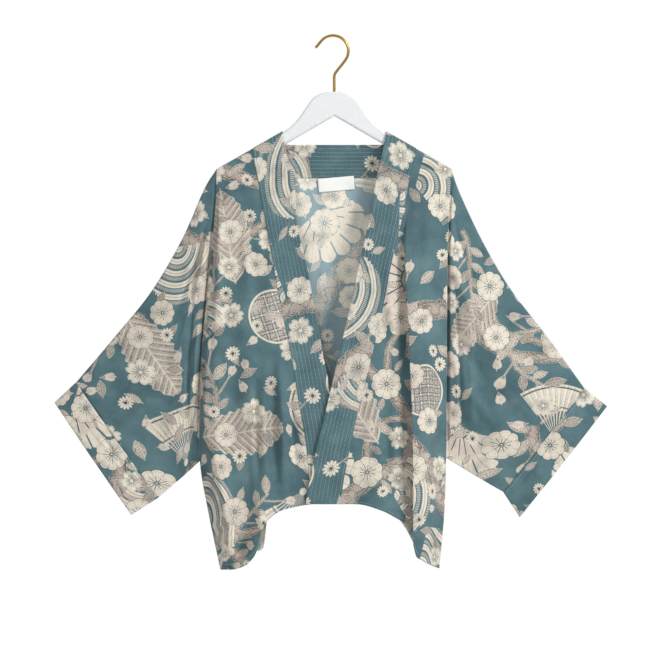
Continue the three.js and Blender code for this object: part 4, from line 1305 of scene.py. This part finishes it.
def draw_wave(canvas, x, y, on):
    """A fan of waves: bands between arcs, every other one filled with short strokes."""
    r, a = polar(x + 0.55, y)
    r = r / 1.5
    sector = r.below(1.0, 0.01) * abs(a).below(1.12, 0.012) * on
    step = (r * 5.0).fract()
    filled = step.near(0.3, 0.22, 0.03)
    strokes = (a * r * 34).fract().near(0.5, 0.22, 0.1) * step.near(0.75, 0.14, 0.03)
    canvas.lay(CREAM, sector * filled)
    canvas.lay(BLUSH, sector * strokes * r.ramp(0.1, 0.12))
    canvas.lay(TAUPE, sector * filled * step.near(0.3, 0.05, 0.03) * 0.8)


def draw_small_leaf(canvas, x, y, seed, on):
    half = lens(x, 0.9) * 0.44
    off = abs(y) - half
    blade = off.below(0.0, 0.025) * on
    body = painted(canvas.tree, TAUPE, BLUSH, seed.ramp(0.45, 0.5))
    veins = ((x - abs(y) * 1.1) * 3.2).fract().near(0.5, 0.08, 0.05).most(abs(y).below(0.03))
    canvas.lay(PALE_LINE, off.near(0.02, 0.035, 0.03) * on * 0.8)
    canvas.lay(body, blade)
    canvas.stipple(blade, abs(y) / half.most(0.02) * 0.7 + 0.2)
    canvas.lay(BROWN, blade * veins * 0.5)


def draw_round_blossom(canvas, r, a, seed, tint, on):
    """Nine round petals with a line inside their edge, and long stamens with dark tips."""
    lobes = abs((a * 4.5).cos())
    off = r - ((lobes ** 0.6) * 0.14 + 0.84)
    bloom = off.below(0.0, 0.02) * on
    canvas.lay(DEEP_TEAL, off.below(0.055, 0.02) * on * 0.45)
    canvas.lay(tint, bloom)
    canvas.lay(TAUPE, bloom * off.near(-0.12, 0.018, 0.02) * 0.75)
    canvas.lay(TAUPE, bloom * (lobes * r).below(0.09, 0.06) * r.ramp(0.5, 0.66) * 0.9)
    canvas.stipple(bloom * r.below(0.62, 0.2), 0.5 - r * 0.5, INK)
    length = (a * 3.0 + seed * 9.0).sin() * 0.08 + 0.5
    hairs = (abs((a * 5.5).sin()) * r).below(0.1, 0.05) * (r - length).below(0.0, 0.02)
    canvas.lay(INK, bloom * hairs * r.ramp(0.08, 0.1) * 0.95)
    tips = (abs((a * 5.5).cos()) * r).below(0.07, 0.05) * r.near(0.42, 0.025, 0.02)
    canvas.lay(INK, bloom * tips)
    canvas.lay(INK, bloom * r.below(0.1))
    canvas.lay(CREAM, bloom * r.below(0.055))


def draw_petal_blossom(canvas, r, a, tint, on):
    """Five notched petals."""
    lobes = abs((a * 2.5).cos())
    off = r - ((lobes ** 0.5) * 0.42 + 0.46 - lobes.ramp(0.93, 1.0) * 0.12)
    bloom = off.below(0.0, 0.02) * on
    hairs = (abs((a * 7.5).sin()) * r).below(0.11, 0.07) * r.near(0.34, 0.2)
    canvas.lay(PALE_LINE, off.near(0.055, 0.03, 0.02) * on * 0.9)
    canvas.lay(tint, bloom)
    canvas.lay(TAUPE, bloom * (lobes * r).below(0.06, 0.05))
    canvas.stipple(bloom, 0.75 - r, INK)
    canvas.lay(INK, bloom * hairs)
    canvas.lay(CREAM, bloom * r.below(0.13))


def draw_bud(canvas, x, y, on):
    off = abs(y) - lens(x, 0.5) * (x * 0.28 + 0.5) * 1.2
    body = off.below(0.0, 0.04) * on
    canvas.lay(PALE_LINE, off.near(0.05, 0.05, 0.04) * on * 0.7)
    canvas.lay(BLUSH, body)
    canvas.lay(TAUPE, body * (abs(y) - x * 0.35 + 0.02).near(0.0, 0.05, 0.04))
    canvas.lay(BROWN, body * (x + abs(y) * 0.8).below(-0.45, 0.06) * 0.6)


def draw_daisy(canvas, r, a, on):
    lobes = abs((a * 6).cos())
    bloom = (r - (lobes ** 0.5) * 0.5).below(0.42, 0.03) * on
    canvas.lay(CREAM, bloom)
    canvas.lay(TAUPE, bloom * (lobes * r).below(0.12, 0.08) * r.ramp(0.25, 0.4))
    canvas.lay(BROWN, bloom * r.below(0.2, 0.03))
    canvas.stipple(on * r.near(0.3, 0.08), 0.8)


def print_group():
    """The whole print as one colour, drawn from the meshes' attributes."""
    tree = bpy.data.node_groups.new("print", "ShaderNodeTree")
    tree.interface.new_socket("Colour", in_out="OUTPUT", socket_type="NodeSocketColor")
    canvas = Canvas(tree)
    draw_twigs(canvas)
    x, y, kind, seed = motif(tree, "large")
    draw_large_leaf(canvas, x, y, shows(kind, LARGE_LEAF))
    draw_roundel(canvas, x, y, seed, shows(kind, ROUNDEL))
    draw_fan(canvas, x, y, shows(kind, FAN))
    draw_half_mum(canvas, x, y, shows(kind, HALF_MUM))
    draw_wave(canvas, x, y, shows(kind, WAVE))
    x, y, kind, seed = motif(tree, "leaf")
    draw_small_leaf(canvas, x, y, seed, shows(kind, SMALL_LEAF))
    x, y, kind, seed = motif(tree, "blossom")
    r, a = polar(x, y)
    tint = painted(tree, CREAM, BLUSH, seed.ramp(0.62, 0.7) * 0.6)
    draw_round_blossom(canvas, r, a, seed, tint, shows(kind, ROUND_BLOSSOM))
    draw_petal_blossom(canvas, r, a, tint, shows(kind, PETAL_BLOSSOM))
    draw_bud(canvas, x, y, shows(kind, BUD))
    draw_daisy(canvas, r, a, shows(kind, DAISY))
    out = tree.nodes.new("NodeGroupOutput")
    tree.links.new(canvas.colour, out.inputs[0])
    return tree


PRINT = print_group()


def new_material(name):
    material = bpy.data.materials.new(name)
    material.use_nodes = True
    tree = material.node_tree
    shader = next(n for n in tree.nodes if n.type == "BSDF_PRINCIPLED")
    return material, tree, shader


def bumped(tree, shader, height, strength, distance):
    node = tree.nodes.new("ShaderNodeBump")
    node.inputs["Strength"].default_value = strength
    node.inputs["Distance"].default_value = distance
    tree.links.new(height.socket, node.inputs["Height"])
    tree.links.new(node.outputs[0], shader.inputs["Normal"])


def drawn_out(tree, vector, share):
    """The vector with its second number slowed, so that a texture on it is drawn out."""
    node = tree.nodes.new("ShaderNodeMapping")
    node.inputs["Scale"].default_value = (1.0, share, 1.0)
    tree.links.new(vector, node.inputs["Vector"])
    return node.outputs[0]


def cloth_material(name, pale=0.0):
    """Crepe with the print; pale is how far its colours fade towards white: partly the wrong side's own paler print,
    partly painted light that stands in for light shining through the thin cloth.
    """
    material, tree, shader = new_material(name)
    group = tree.nodes.new("ShaderNodeGroup")
    group.node_tree = PRINT
    colour = group.outputs[0]
    cut = cut_place(tree)
    if pale:
        grey = tree.nodes.new("ShaderNodeRGBToBW")
        tree.links.new(colour, grey.inputs[0])
        light = Num(tree, grey.outputs[0]).ramp(0.18, 0.5)
        # The wrong side fades to pale teal and cream: its own paler print, and painted light for the light that shines
        # through the thin cloth.
        pale_and_backlit = painted(tree, linear(202, 228, 236), linear(255, 246, 228), light)
        colour = painted(tree, colour, pale_and_backlit, light * 0.2 + pale)
    # Uneven dye and slubs, each with darker and lighter places, and yarns.
    patches = noise(tree, cut, 26.0, 3.0)
    slubs = noise(tree, drawn_out(tree, cut, 0.16), 520.0)
    yarn = noise(tree, drawn_out(tree, cut, 0.22), 900.0, 1.0)
    crepe = noise(tree, cut, 1100.0, 1.0)
    for shade, mask in (
        (linear(40, 66, 76), patches.ramp(0.48, 0.75) * 0.4),
        (linear(190, 205, 205), (1 - patches.ramp(0.3, 0.5)) * 0.07),
        (linear(40, 62, 70), slubs.ramp(0.5, 0.74) * 0.07),
        (linear(205, 216, 214), (1 - slubs.ramp(0.28, 0.46)) * 0.04),
        (INK, yarn.ramp(0.45, 0.8) * 0.16),
    ):
        colour = painted(tree, colour, shade, mask)
    tree.links.new(colour, shader.inputs["Base Color"])
    tree.links.new((crepe * 0.16 + 0.66).socket, shader.inputs["Roughness"])
    shader.inputs["Sheen Weight"].default_value = 0.25
    shader.inputs["Sheen Roughness"].default_value = 0.45
    shader.inputs["Specular IOR Level"].default_value = 0.3
    bumped(tree, shader, crepe + yarn * 0.8, 0.5, 0.00025)
    return material


RIGHT_CLOTH = cloth_material("printed_crepe")
# Its pale colours are partly the wrong side's own and partly painted light, standing in for light through the thin
# cloth.
WRONG_CLOTH = cloth_material("printed_crepe_wrong_side", 0.42)


def plain_material(name, colour, rough, metal=0.0, grain=300.0, depth=0.0001):
    """A material of one colour with fine, slightly darker grains."""
    material, tree, shader = new_material(name)
    coordinates = tree.nodes.new("ShaderNodeTexCoord").outputs["Object"]
    grains = noise(tree, coordinates, grain)
    darker = tuple(0.86 * c for c in colour[:3]) + (1.0,)
    tree.links.new(painted(tree, colour, darker, grains.ramp(0.4, 0.8)), shader.inputs["Base Color"])
    tree.links.new((grains * 0.16 + (rough - 0.08)).socket, shader.inputs["Roughness"])
    shader.inputs["Metallic"].default_value = metal
    bumped(tree, shader, grains, 0.3, depth)
    return material


# ---- The pieces ----

CLOTHS = (RIGHT_CLOTH, WRONG_CLOTH)
DOUBLED = (RIGHT_CLOTH, RIGHT_CLOTH)


def facing(points, way):
    """The direction in which a piece's right side faces, at each point."""
    return np.broadcast_to(np.array([0.0, way, 0.0]), points.shape)


def unfolded(points, centre):
    """A panel's places in its cut: across from a column of the grid, and down."""
    steps = np.hypot(np.diff(points[..., X], axis=1), np.diff(points[..., Y], axis=1))
    across = summed(steps * np.sign(points[:, -1:, X] - points[:, :1, X]), 1)
    across = across - across[:, centre : centre + 1] + points[:, centre : centre + 1, X]
    falls = np.hypot(np.diff(points[..., Z], axis=0), np.diff(points[..., Y], axis=0))
    return np.stack([across, points[:1, :, Z] - summed(falls, 0)], -1)


def hem_wall(points):
    """Thickness of a panel, which grows where its lower edge is folded up."""
    to_hem = run_lengths(points, 0)
    to_hem = to_hem[-1:] - to_hem
    return CLOTH + (HEM_WALL - CLOTH) * (1 - smooth((to_hem - HEM_DEPTH) / 1.5))


OVER_ROWS = evenly(5, 0, OVER_SHARE)[:-1]  # v of the rows over an arm
FRONT_COLUMNS = (34, 30)  # before and beyond the main fold's crest


def build_front(side, offset):
    before, beyond = FRONT_COLUMNS
    # Closer columns where the main fold turns under.
    inner = 0.5 - 0.5 * (1 - evenly(before)) ** 1.5
    rows = evenly(round(PANEL_LENGTH / STEP), OVER_SHARE, 1)
    u, v = np.meshgrid(
        np.concatenate([inner[:-1], evenly(beyond, 0.5, 1)]), np.concatenate([OVER_ROWS, rows])
    )
    points = front_at(side)(u, v)
    return shell(
        f"cloth_front_{side}", points, unfolded(points, before), hem_wall(points), CLOTHS,
        facing(points, -1), layout=printed(offset),
    )


BACK_COLUMNS = (46, 26)  # of half the back, inside and outside the neckband's corner
BACK_ROWS = 215
STRIP_END = OVER_SHARE + (1 - OVER_SHARE) * STRIP_SHARE


def build_back(offset):
    strip_rows = 1 + round((STRIP_END - OVER_SHARE) * PANEL_LENGTH / STEP)
    strip = evenly(strip_rows, OVER_SHARE, STRIP_END)
    vs = np.concatenate([OVER_ROWS, strip[:-1], evenly(BACK_ROWS, STRIP_END, 1)])
    in_neck, outside = BACK_COLUMNS
    half = np.concatenate([evenly(in_neck, 0, CORNER_ACROSS)[:-1], evenly(outside, CORNER_ACROSS, 1)])
    us = np.concatenate([0.5 - 0.5 * half[::-1], 0.5 + 0.5 * half[1:]])
    u, v = np.meshgrid(us, vs)
    points = back_at(u, v)
    # The cells inside the neckband's turn are left out.
    centre = np.abs(2 * u[:-1, :-1] + np.diff(u, axis=1)[:-1] - 1)
    above = v[:-1, :-1] < STRIP_END - 1e-6
    flat = unfolded(points, len(half) - 1)
    flat[..., 1] = points[..., Z]
    return shell(
        "cloth_back", points, flat, hem_wall(points), CLOTHS, facing(points, 1),
        missing=above & (centre < CORNER_ACROSS), layout=printed(offset),
    )


BAND_ROWS = 8  # rows of running stitch
BAND_WIDTH = 54.0
BAND_GRID = (51, 500)
STITCH_SINK = 0.5  # how much thinner the band is on a row of stitching


def quilted(u):
    """Height of the band's face between its rows of stitching, 0 on a row."""
    return np.abs(np.sin(np.pi * u * (BAND_ROWS + 0.5))) ** 0.7


def build_neckband(offset):
    across, lengthways = BAND_GRID
    u, v = np.meshgrid(evenly(across), evenly(lengthways))
    points = band_at(u, v)
    middle = across // 2
    length = run_lengths(points[:, middle : middle + 1], 0)
    flat = np.stack([u * BAND_WIDTH, np.broadcast_to(length, u.shape)], -1)
    outwards = np.where((np.abs(2 * v - 1) < BAND_AT_RIDGE)[..., None], [0, 1, 0], [0, -1, 0])
    return shell(
        "cloth_neckband", points, flat, BAND_WALL - STITCH_SINK + STITCH_SINK * quilted(u), DOUBLED,
        outwards, layout=printed(offset),
    )


def ring_us(count):
    """An even number of columns round a tube, closer at its two folds."""
    even = evenly(count // 2)
    half = mix(even, 0.5 - 0.5 * np.cos(np.pi * even), 0.25)
    return np.concatenate([half / 2, 1 - half[1:-1][::-1] / 2])


def tube_flat(side, rows, u, v, points):
    """A tube's places in its cut: down from its upper fold, and along it."""
    top = np.stack([SIGN[side] * along(rows, "top_x", v), along(rows, "top_z", v)], -1)
    start, end = top[0, 0], top[-1, 0]
    way = (end - start) / np.linalg.norm(end - start)
    down = np.array([way[1], -way[0]])
    seen = points[..., [X, Z]]
    across = np.abs((seen - top) @ down)
    return np.stack([np.where(u <= 0.5, across, -across), seen @ way], -1)


SLEEVE_PRINT_TURN = 0.3  # how far the print leans on a sleeve


def build_tube(kind, side, rows, at, count, lengthways, thick, offset, materials):
    u, v = np.meshgrid(ring_us(count), lengthways)
    points = at(u, v)
    outwards = np.stack([0 * u, np.where(u < 0.5, -1.0, 1.0), 0 * u], -1)
    flat = tube_flat(side, rows, u, v, points)
    return shell(
        f"cloth_{kind}_{side}", points, flat, thick, materials, outwards, ring=True,
        layout=printed(offset, SLEEVE_PRINT_TURN * SIGN[side]),
    )


SLEEVE_RING, CUFF_RING = 260, 170  # columns round
SLEEVE_HOLD = 0.35  # share of a sleeve's length that the armhole shapes


def build_sleeve(side, offset):
    at = tube_at(
        side, SLEEVE[side], lambda v: 1 - smooth(v / SLEEVE_HOLD), lambda v: smooth(v / 0.3) * (1 - 0.6 * v)
    )
    # Closer rows beside the armhole.
    vs = np.concatenate([evenly(16, 0, 0.06)[:-1], evenly(98, 0.06, 1)])
    return build_tube("sleeve", side, SLEEVE[side], at, SLEEVE_RING, vs, CLOTH, offset, CLOTHS)


def cuff_at(side):
    return tube_at(side, CUFF[side], lambda v: 0 * v, lambda v: 0 * v + 0.4, 0.35)


def build_cuff(side, offset):
    at, vs = cuff_at(side), evenly(20)
    return build_tube("cuff", side, CUFF[side], at, CUFF_RING, vs, CUFF_WALL, offset, DOUBLED)


pieces = {
    "back": build_back((100, 480)),
    "front_right": build_front("right", (0, 0)),
    "front_left": build_front("left", (150, 260)),
    "neckband": build_neckband((330, 120)),
}
for side, (across, down) in (("right", (250, 60)), ("left", (90, 400))):
    pieces[f"sleeve_{side}"] = build_sleeve(side, (across, down))
    pieces[f"cuff_{side}"] = build_cuff(side, (across + 210, down + 90))


# ---- Sewing and the rest ----


def surface(at, u, v, half, way):
    """Points of a piece's face, half its wall out from at, and the normals there."""
    step = 1e-4
    du = at(u + step, v) - at(u - step, v)
    dv = at(u, v + step) - at(u, v - step)
    n = np.cross(du, dv)
    n = n / np.linalg.norm(n, axis=-1, keepdims=True)
    n = n * np.sign(np.sum(n * way, -1, keepdims=True))
    return at(u, v) + n * half + np.array([BOARD_MIDDLE, 0, 0]), n


def stitch_line(points, normals, length, gap, radius):
    """A row of running stitches along a line on a face: their points and quads."""
    run = run_lengths(points[None], 1)[0]
    starts = np.arange(gap, run[-1] - length - gap, length + gap)
    starts = starts + random.uniform(-0.25, 0.25, len(starts))
    at = lambda s, values: np.stack([np.interp(s, run, values[:, k]) for k in range(3)], -1)
    ends = [at(starts + share * length, points) for share in (0.0, 0.5, 1.0)]
    ups = [at(starts + share * length, normals) for share in (0.0, 0.5, 1.0)]
    way = ends[2] - ends[0]
    way = way / np.maximum(np.linalg.norm(way, axis=-1, keepdims=True), 1e-9)
    rings = []
    for place, up, lift in zip(ends, ups, (-0.2 * radius, 0.5 * radius, -0.2 * radius)):
        across = np.cross(way, up)
        for turn in range(4):
            rise, aside = (radius * f((turn + 0.5) * math.pi / 2) for f in (math.sin, math.cos))
            rings.append(place + up * (lift + rise) + across * aside)
    points = np.stack(rings, 1)
    quads = [[4 * r + k, 4 * r + (k + 1) % 4, 4 * r + 4 + (k + 1) % 4, 4 * r + 4 + k]
             for r in range(2) for k in range(4)]
    quads += [[3, 2, 1, 0], [8, 9, 10, 11]]
    quads = np.array(quads)[None] + 12 * np.arange(len(points))[:, None, None]
    return points.reshape(-1, 3), quads.reshape(-1, 4)


def stitching(name, lines, material, length=5.6, gap=1.0, radius=0.27):
    points, quads, count = [], [], 0
    for line, normals in lines:
        p, q = stitch_line(line, normals, length, gap, radius)
        points.append(p)
        quads.append(q + count)
        count += len(p)
    quads = np.concatenate(quads)
    return make_mesh(name, np.concatenate(points), quads, np.zeros(len(quads), int), (material,))


THREAD = plain_material("stitching_thread", linear(158, 180, 184), 0.6, grain=2000.0)
FRONT_WAY, BACK_WAY = np.array([0.0, -1.0, 0.0]), np.array([0.0, 1.0, 0.0])
# Stretches of the band, from v to v, and the way that their stitched face looks.
BAND_STRETCHES = (
    (0.0015, 0.39, FRONT_WAY), (0.61, 0.9985, FRONT_WAY), (0.39, 0.61, BACK_WAY),
    (0.39, 0.61, FRONT_WAY),
)


def band_lines():
    lines = []
    for row in range(BAND_ROWS):
        u_row = (row + 1) / (BAND_ROWS + 0.5)
        for low, high, way in BAND_STRETCHES:
            v = np.linspace(low, high, 700)
            lines.append(surface(band_at, 0 * v + u_row, v, (BAND_WALL - STITCH_SINK) / 2, way))
    return lines


def hem_lines():
    u = np.linspace(0.01, 0.99, 500)
    v = 0 * u + 1 - 1.05 * HEM_DEPTH / PANEL_LENGTH
    panels = [(front_at(side), FRONT_WAY) for side in SIGN] + [(back_at, BACK_WAY)]
    return [surface(at, u, v, HEM_WALL / 2, way) for at, way in panels]


def cuff_lines(side):
    lines = []
    for low, high, way in ((0.012, 0.488, FRONT_WAY), (0.512, 0.988, BACK_WAY)):
        u = np.linspace(low, high, 300)
        lines.append(surface(cuff_at(side), u, 0 * u + 0.1, CUFF_WALL / 2, way))
    return lines


FINE_STITCHES = {"length": 3.2, "gap": 1.3, "radius": 0.3}
sewing = [
    (stitching("stitches_neckband", band_lines(), THREAD), "doubled_cloth"),
    (stitching("stitches_hem", hem_lines(), THREAD, **FINE_STITCHES), "printed_cloth"),
    (stitching("stitches_cuffs", cuff_lines("right") + cuff_lines("left"), THREAD, **FINE_STITCHES),
     "doubled_cloth"),
]

TAPE = plain_material("label_tape", linear(242, 242, 238), 0.7, grain=900.0)
u, v = np.meshgrid(evenly(30), evenly(12))
points = label_at(u, v)
flat = np.stack([u * LABEL["width"], v * LABEL["height"]], -1)
pieces["neck_label"] = shell(
    "neck_label_tape", points, flat, LABEL_WALL, (TAPE, TAPE), facing(points, -1)
)

PAINT = plain_material("white_paint", linear(224, 226, 227), 0.42, grain=700.0, depth=0.00002)
GOLD = plain_material("polished_brass", linear(222, 178, 96), 0.22, 1.0, grain=200.0, depth=0.00002)
for node, material in (("hanger_board", PAINT), ("hanger_hook", GOLD)):
    bpy.data.objects[node].data.materials[0] = material

SLOTS = {"neckband": "doubled_cloth", "cuff_right": "doubled_cloth", "cuff_left": "doubled_cloth",
         "neck_label": "label_tape"}
for thing, slot in sewing:
    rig.slot(thing, slot)
for node, thing in pieces.items():
    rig.replaces(thing, node)
    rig.slot(thing, SLOTS.get(node, "printed_cloth"))

# The cut of each piece, width by length, and its area where the cut isn't a rectangle.
CUT = {
    "back": (0.42, 0.67, 0.223), "front_right": (0.19, 0.68, 0.082), "front_left": (0.18, 0.68, 0.075),
    "sleeve_right": (0.468, 0.491, 0.107), "sleeve_left": (0.493, 0.485, 0.117),
    "cuff_right": (0.45, 0.05, None), "cuff_left": (0.43, 0.05, None),
    "neckband": (0.054, 1.45, None), "neck_label": (0.058, 0.022, None),
}
for node, (width, length, area) in CUT.items():
    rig.sheet(pieces[node], flat=(width, length), held="hung", rests_on=("hanger_board",), area=area)


# ---- Light and camera ----

FLOOR_RADIUS, FLOOR_Z = 1.4, -1.25
bpy.ops.mesh.primitive_circle_add(
    vertices=96, radius=FLOOR_RADIUS, fill_type="NGON", location=(0, 0, FLOOR_Z)
)
floor = bpy.context.object
floor.name = "floor"
floor.data.materials.append(plain_material("pale_floor", linear(232, 232, 230), 0.8, grain=220.0))
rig.stage(floor)

world = bpy.data.worlds.new("studio")
bpy.context.scene.world = world
world.use_nodes = True
tree = world.node_tree
background = next(n for n in tree.nodes if n.type == "BACKGROUND")
parts = tree.nodes.new("ShaderNodeSeparateXYZ")
tree.links.new(tree.nodes.new("ShaderNodeTexCoord").outputs["Generated"], parts.inputs[0])
# The sky behind the camera is darker than the backdrop ahead of it.
ahead = Num(tree, parts.outputs[1]).ramp(0.2, 0.8)
tree.links.new(painted(tree, (0.36, 0.37, 0.38, 1), (1.0, 1.0, 1.0, 1), ahead), background.inputs[0])
background.inputs["Strength"].default_value = 1.0


def area_light(name, place, aim, size, power):
    light = bpy.data.lights.new(name, "AREA")
    light.shape = "DISK"
    light.size = size
    light.energy = power
    thing = bpy.data.objects.new(name, light)
    bpy.context.scene.collection.objects.link(thing)
    thing.location = place
    away = np.array(place) - np.array(aim)
    thing.rotation_euler = (
        math.atan2(math.hypot(away[0], away[1]), away[2]), 0, math.atan2(away[1], away[0]) + math.pi / 2
    )


# Lights, in metres and watts: place, aim, size and power.
for light in (
    ("key", (2.4, -2.0, 1.4), (0, 0, -0.45), 1.3, 106),
    ("fill", (-0.6, -3.2, 0.6), (0, 0, -0.5), 1.4, 26),
    ("rear", (0.6, 2.6, 1.0), (0, 0, -0.45), 1.4, 26),
):
    area_light(*light)

CAMERA_AWAY, FRAME_WIDTH, SENSOR = 5.0, 1.064, 36
FRAME_X, FRAME_Z = -0.0008, -0.4728  # the middle of the picture
camera = bpy.data.objects.new("camera", bpy.data.cameras.new("camera"))
bpy.context.scene.collection.objects.link(camera)
camera.data.sensor_width = SENSOR
camera.data.lens = SENSOR * CAMERA_AWAY / FRAME_WIDTH
camera.location = (FRAME_X, -CAMERA_AWAY, FRAME_Z)
camera.rotation_euler = (math.pi / 2, 0, 0)
bpy.context.scene.camera = camera
bpy.context.scene.view_settings.view_transform = "Standard"

with open("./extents.json", "w") as file:
    boxes = {"cad": CAD_BOX, "visual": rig.bounds()}
    json.dump(boxes, file, default=lambda value: [float(v) for v in value])
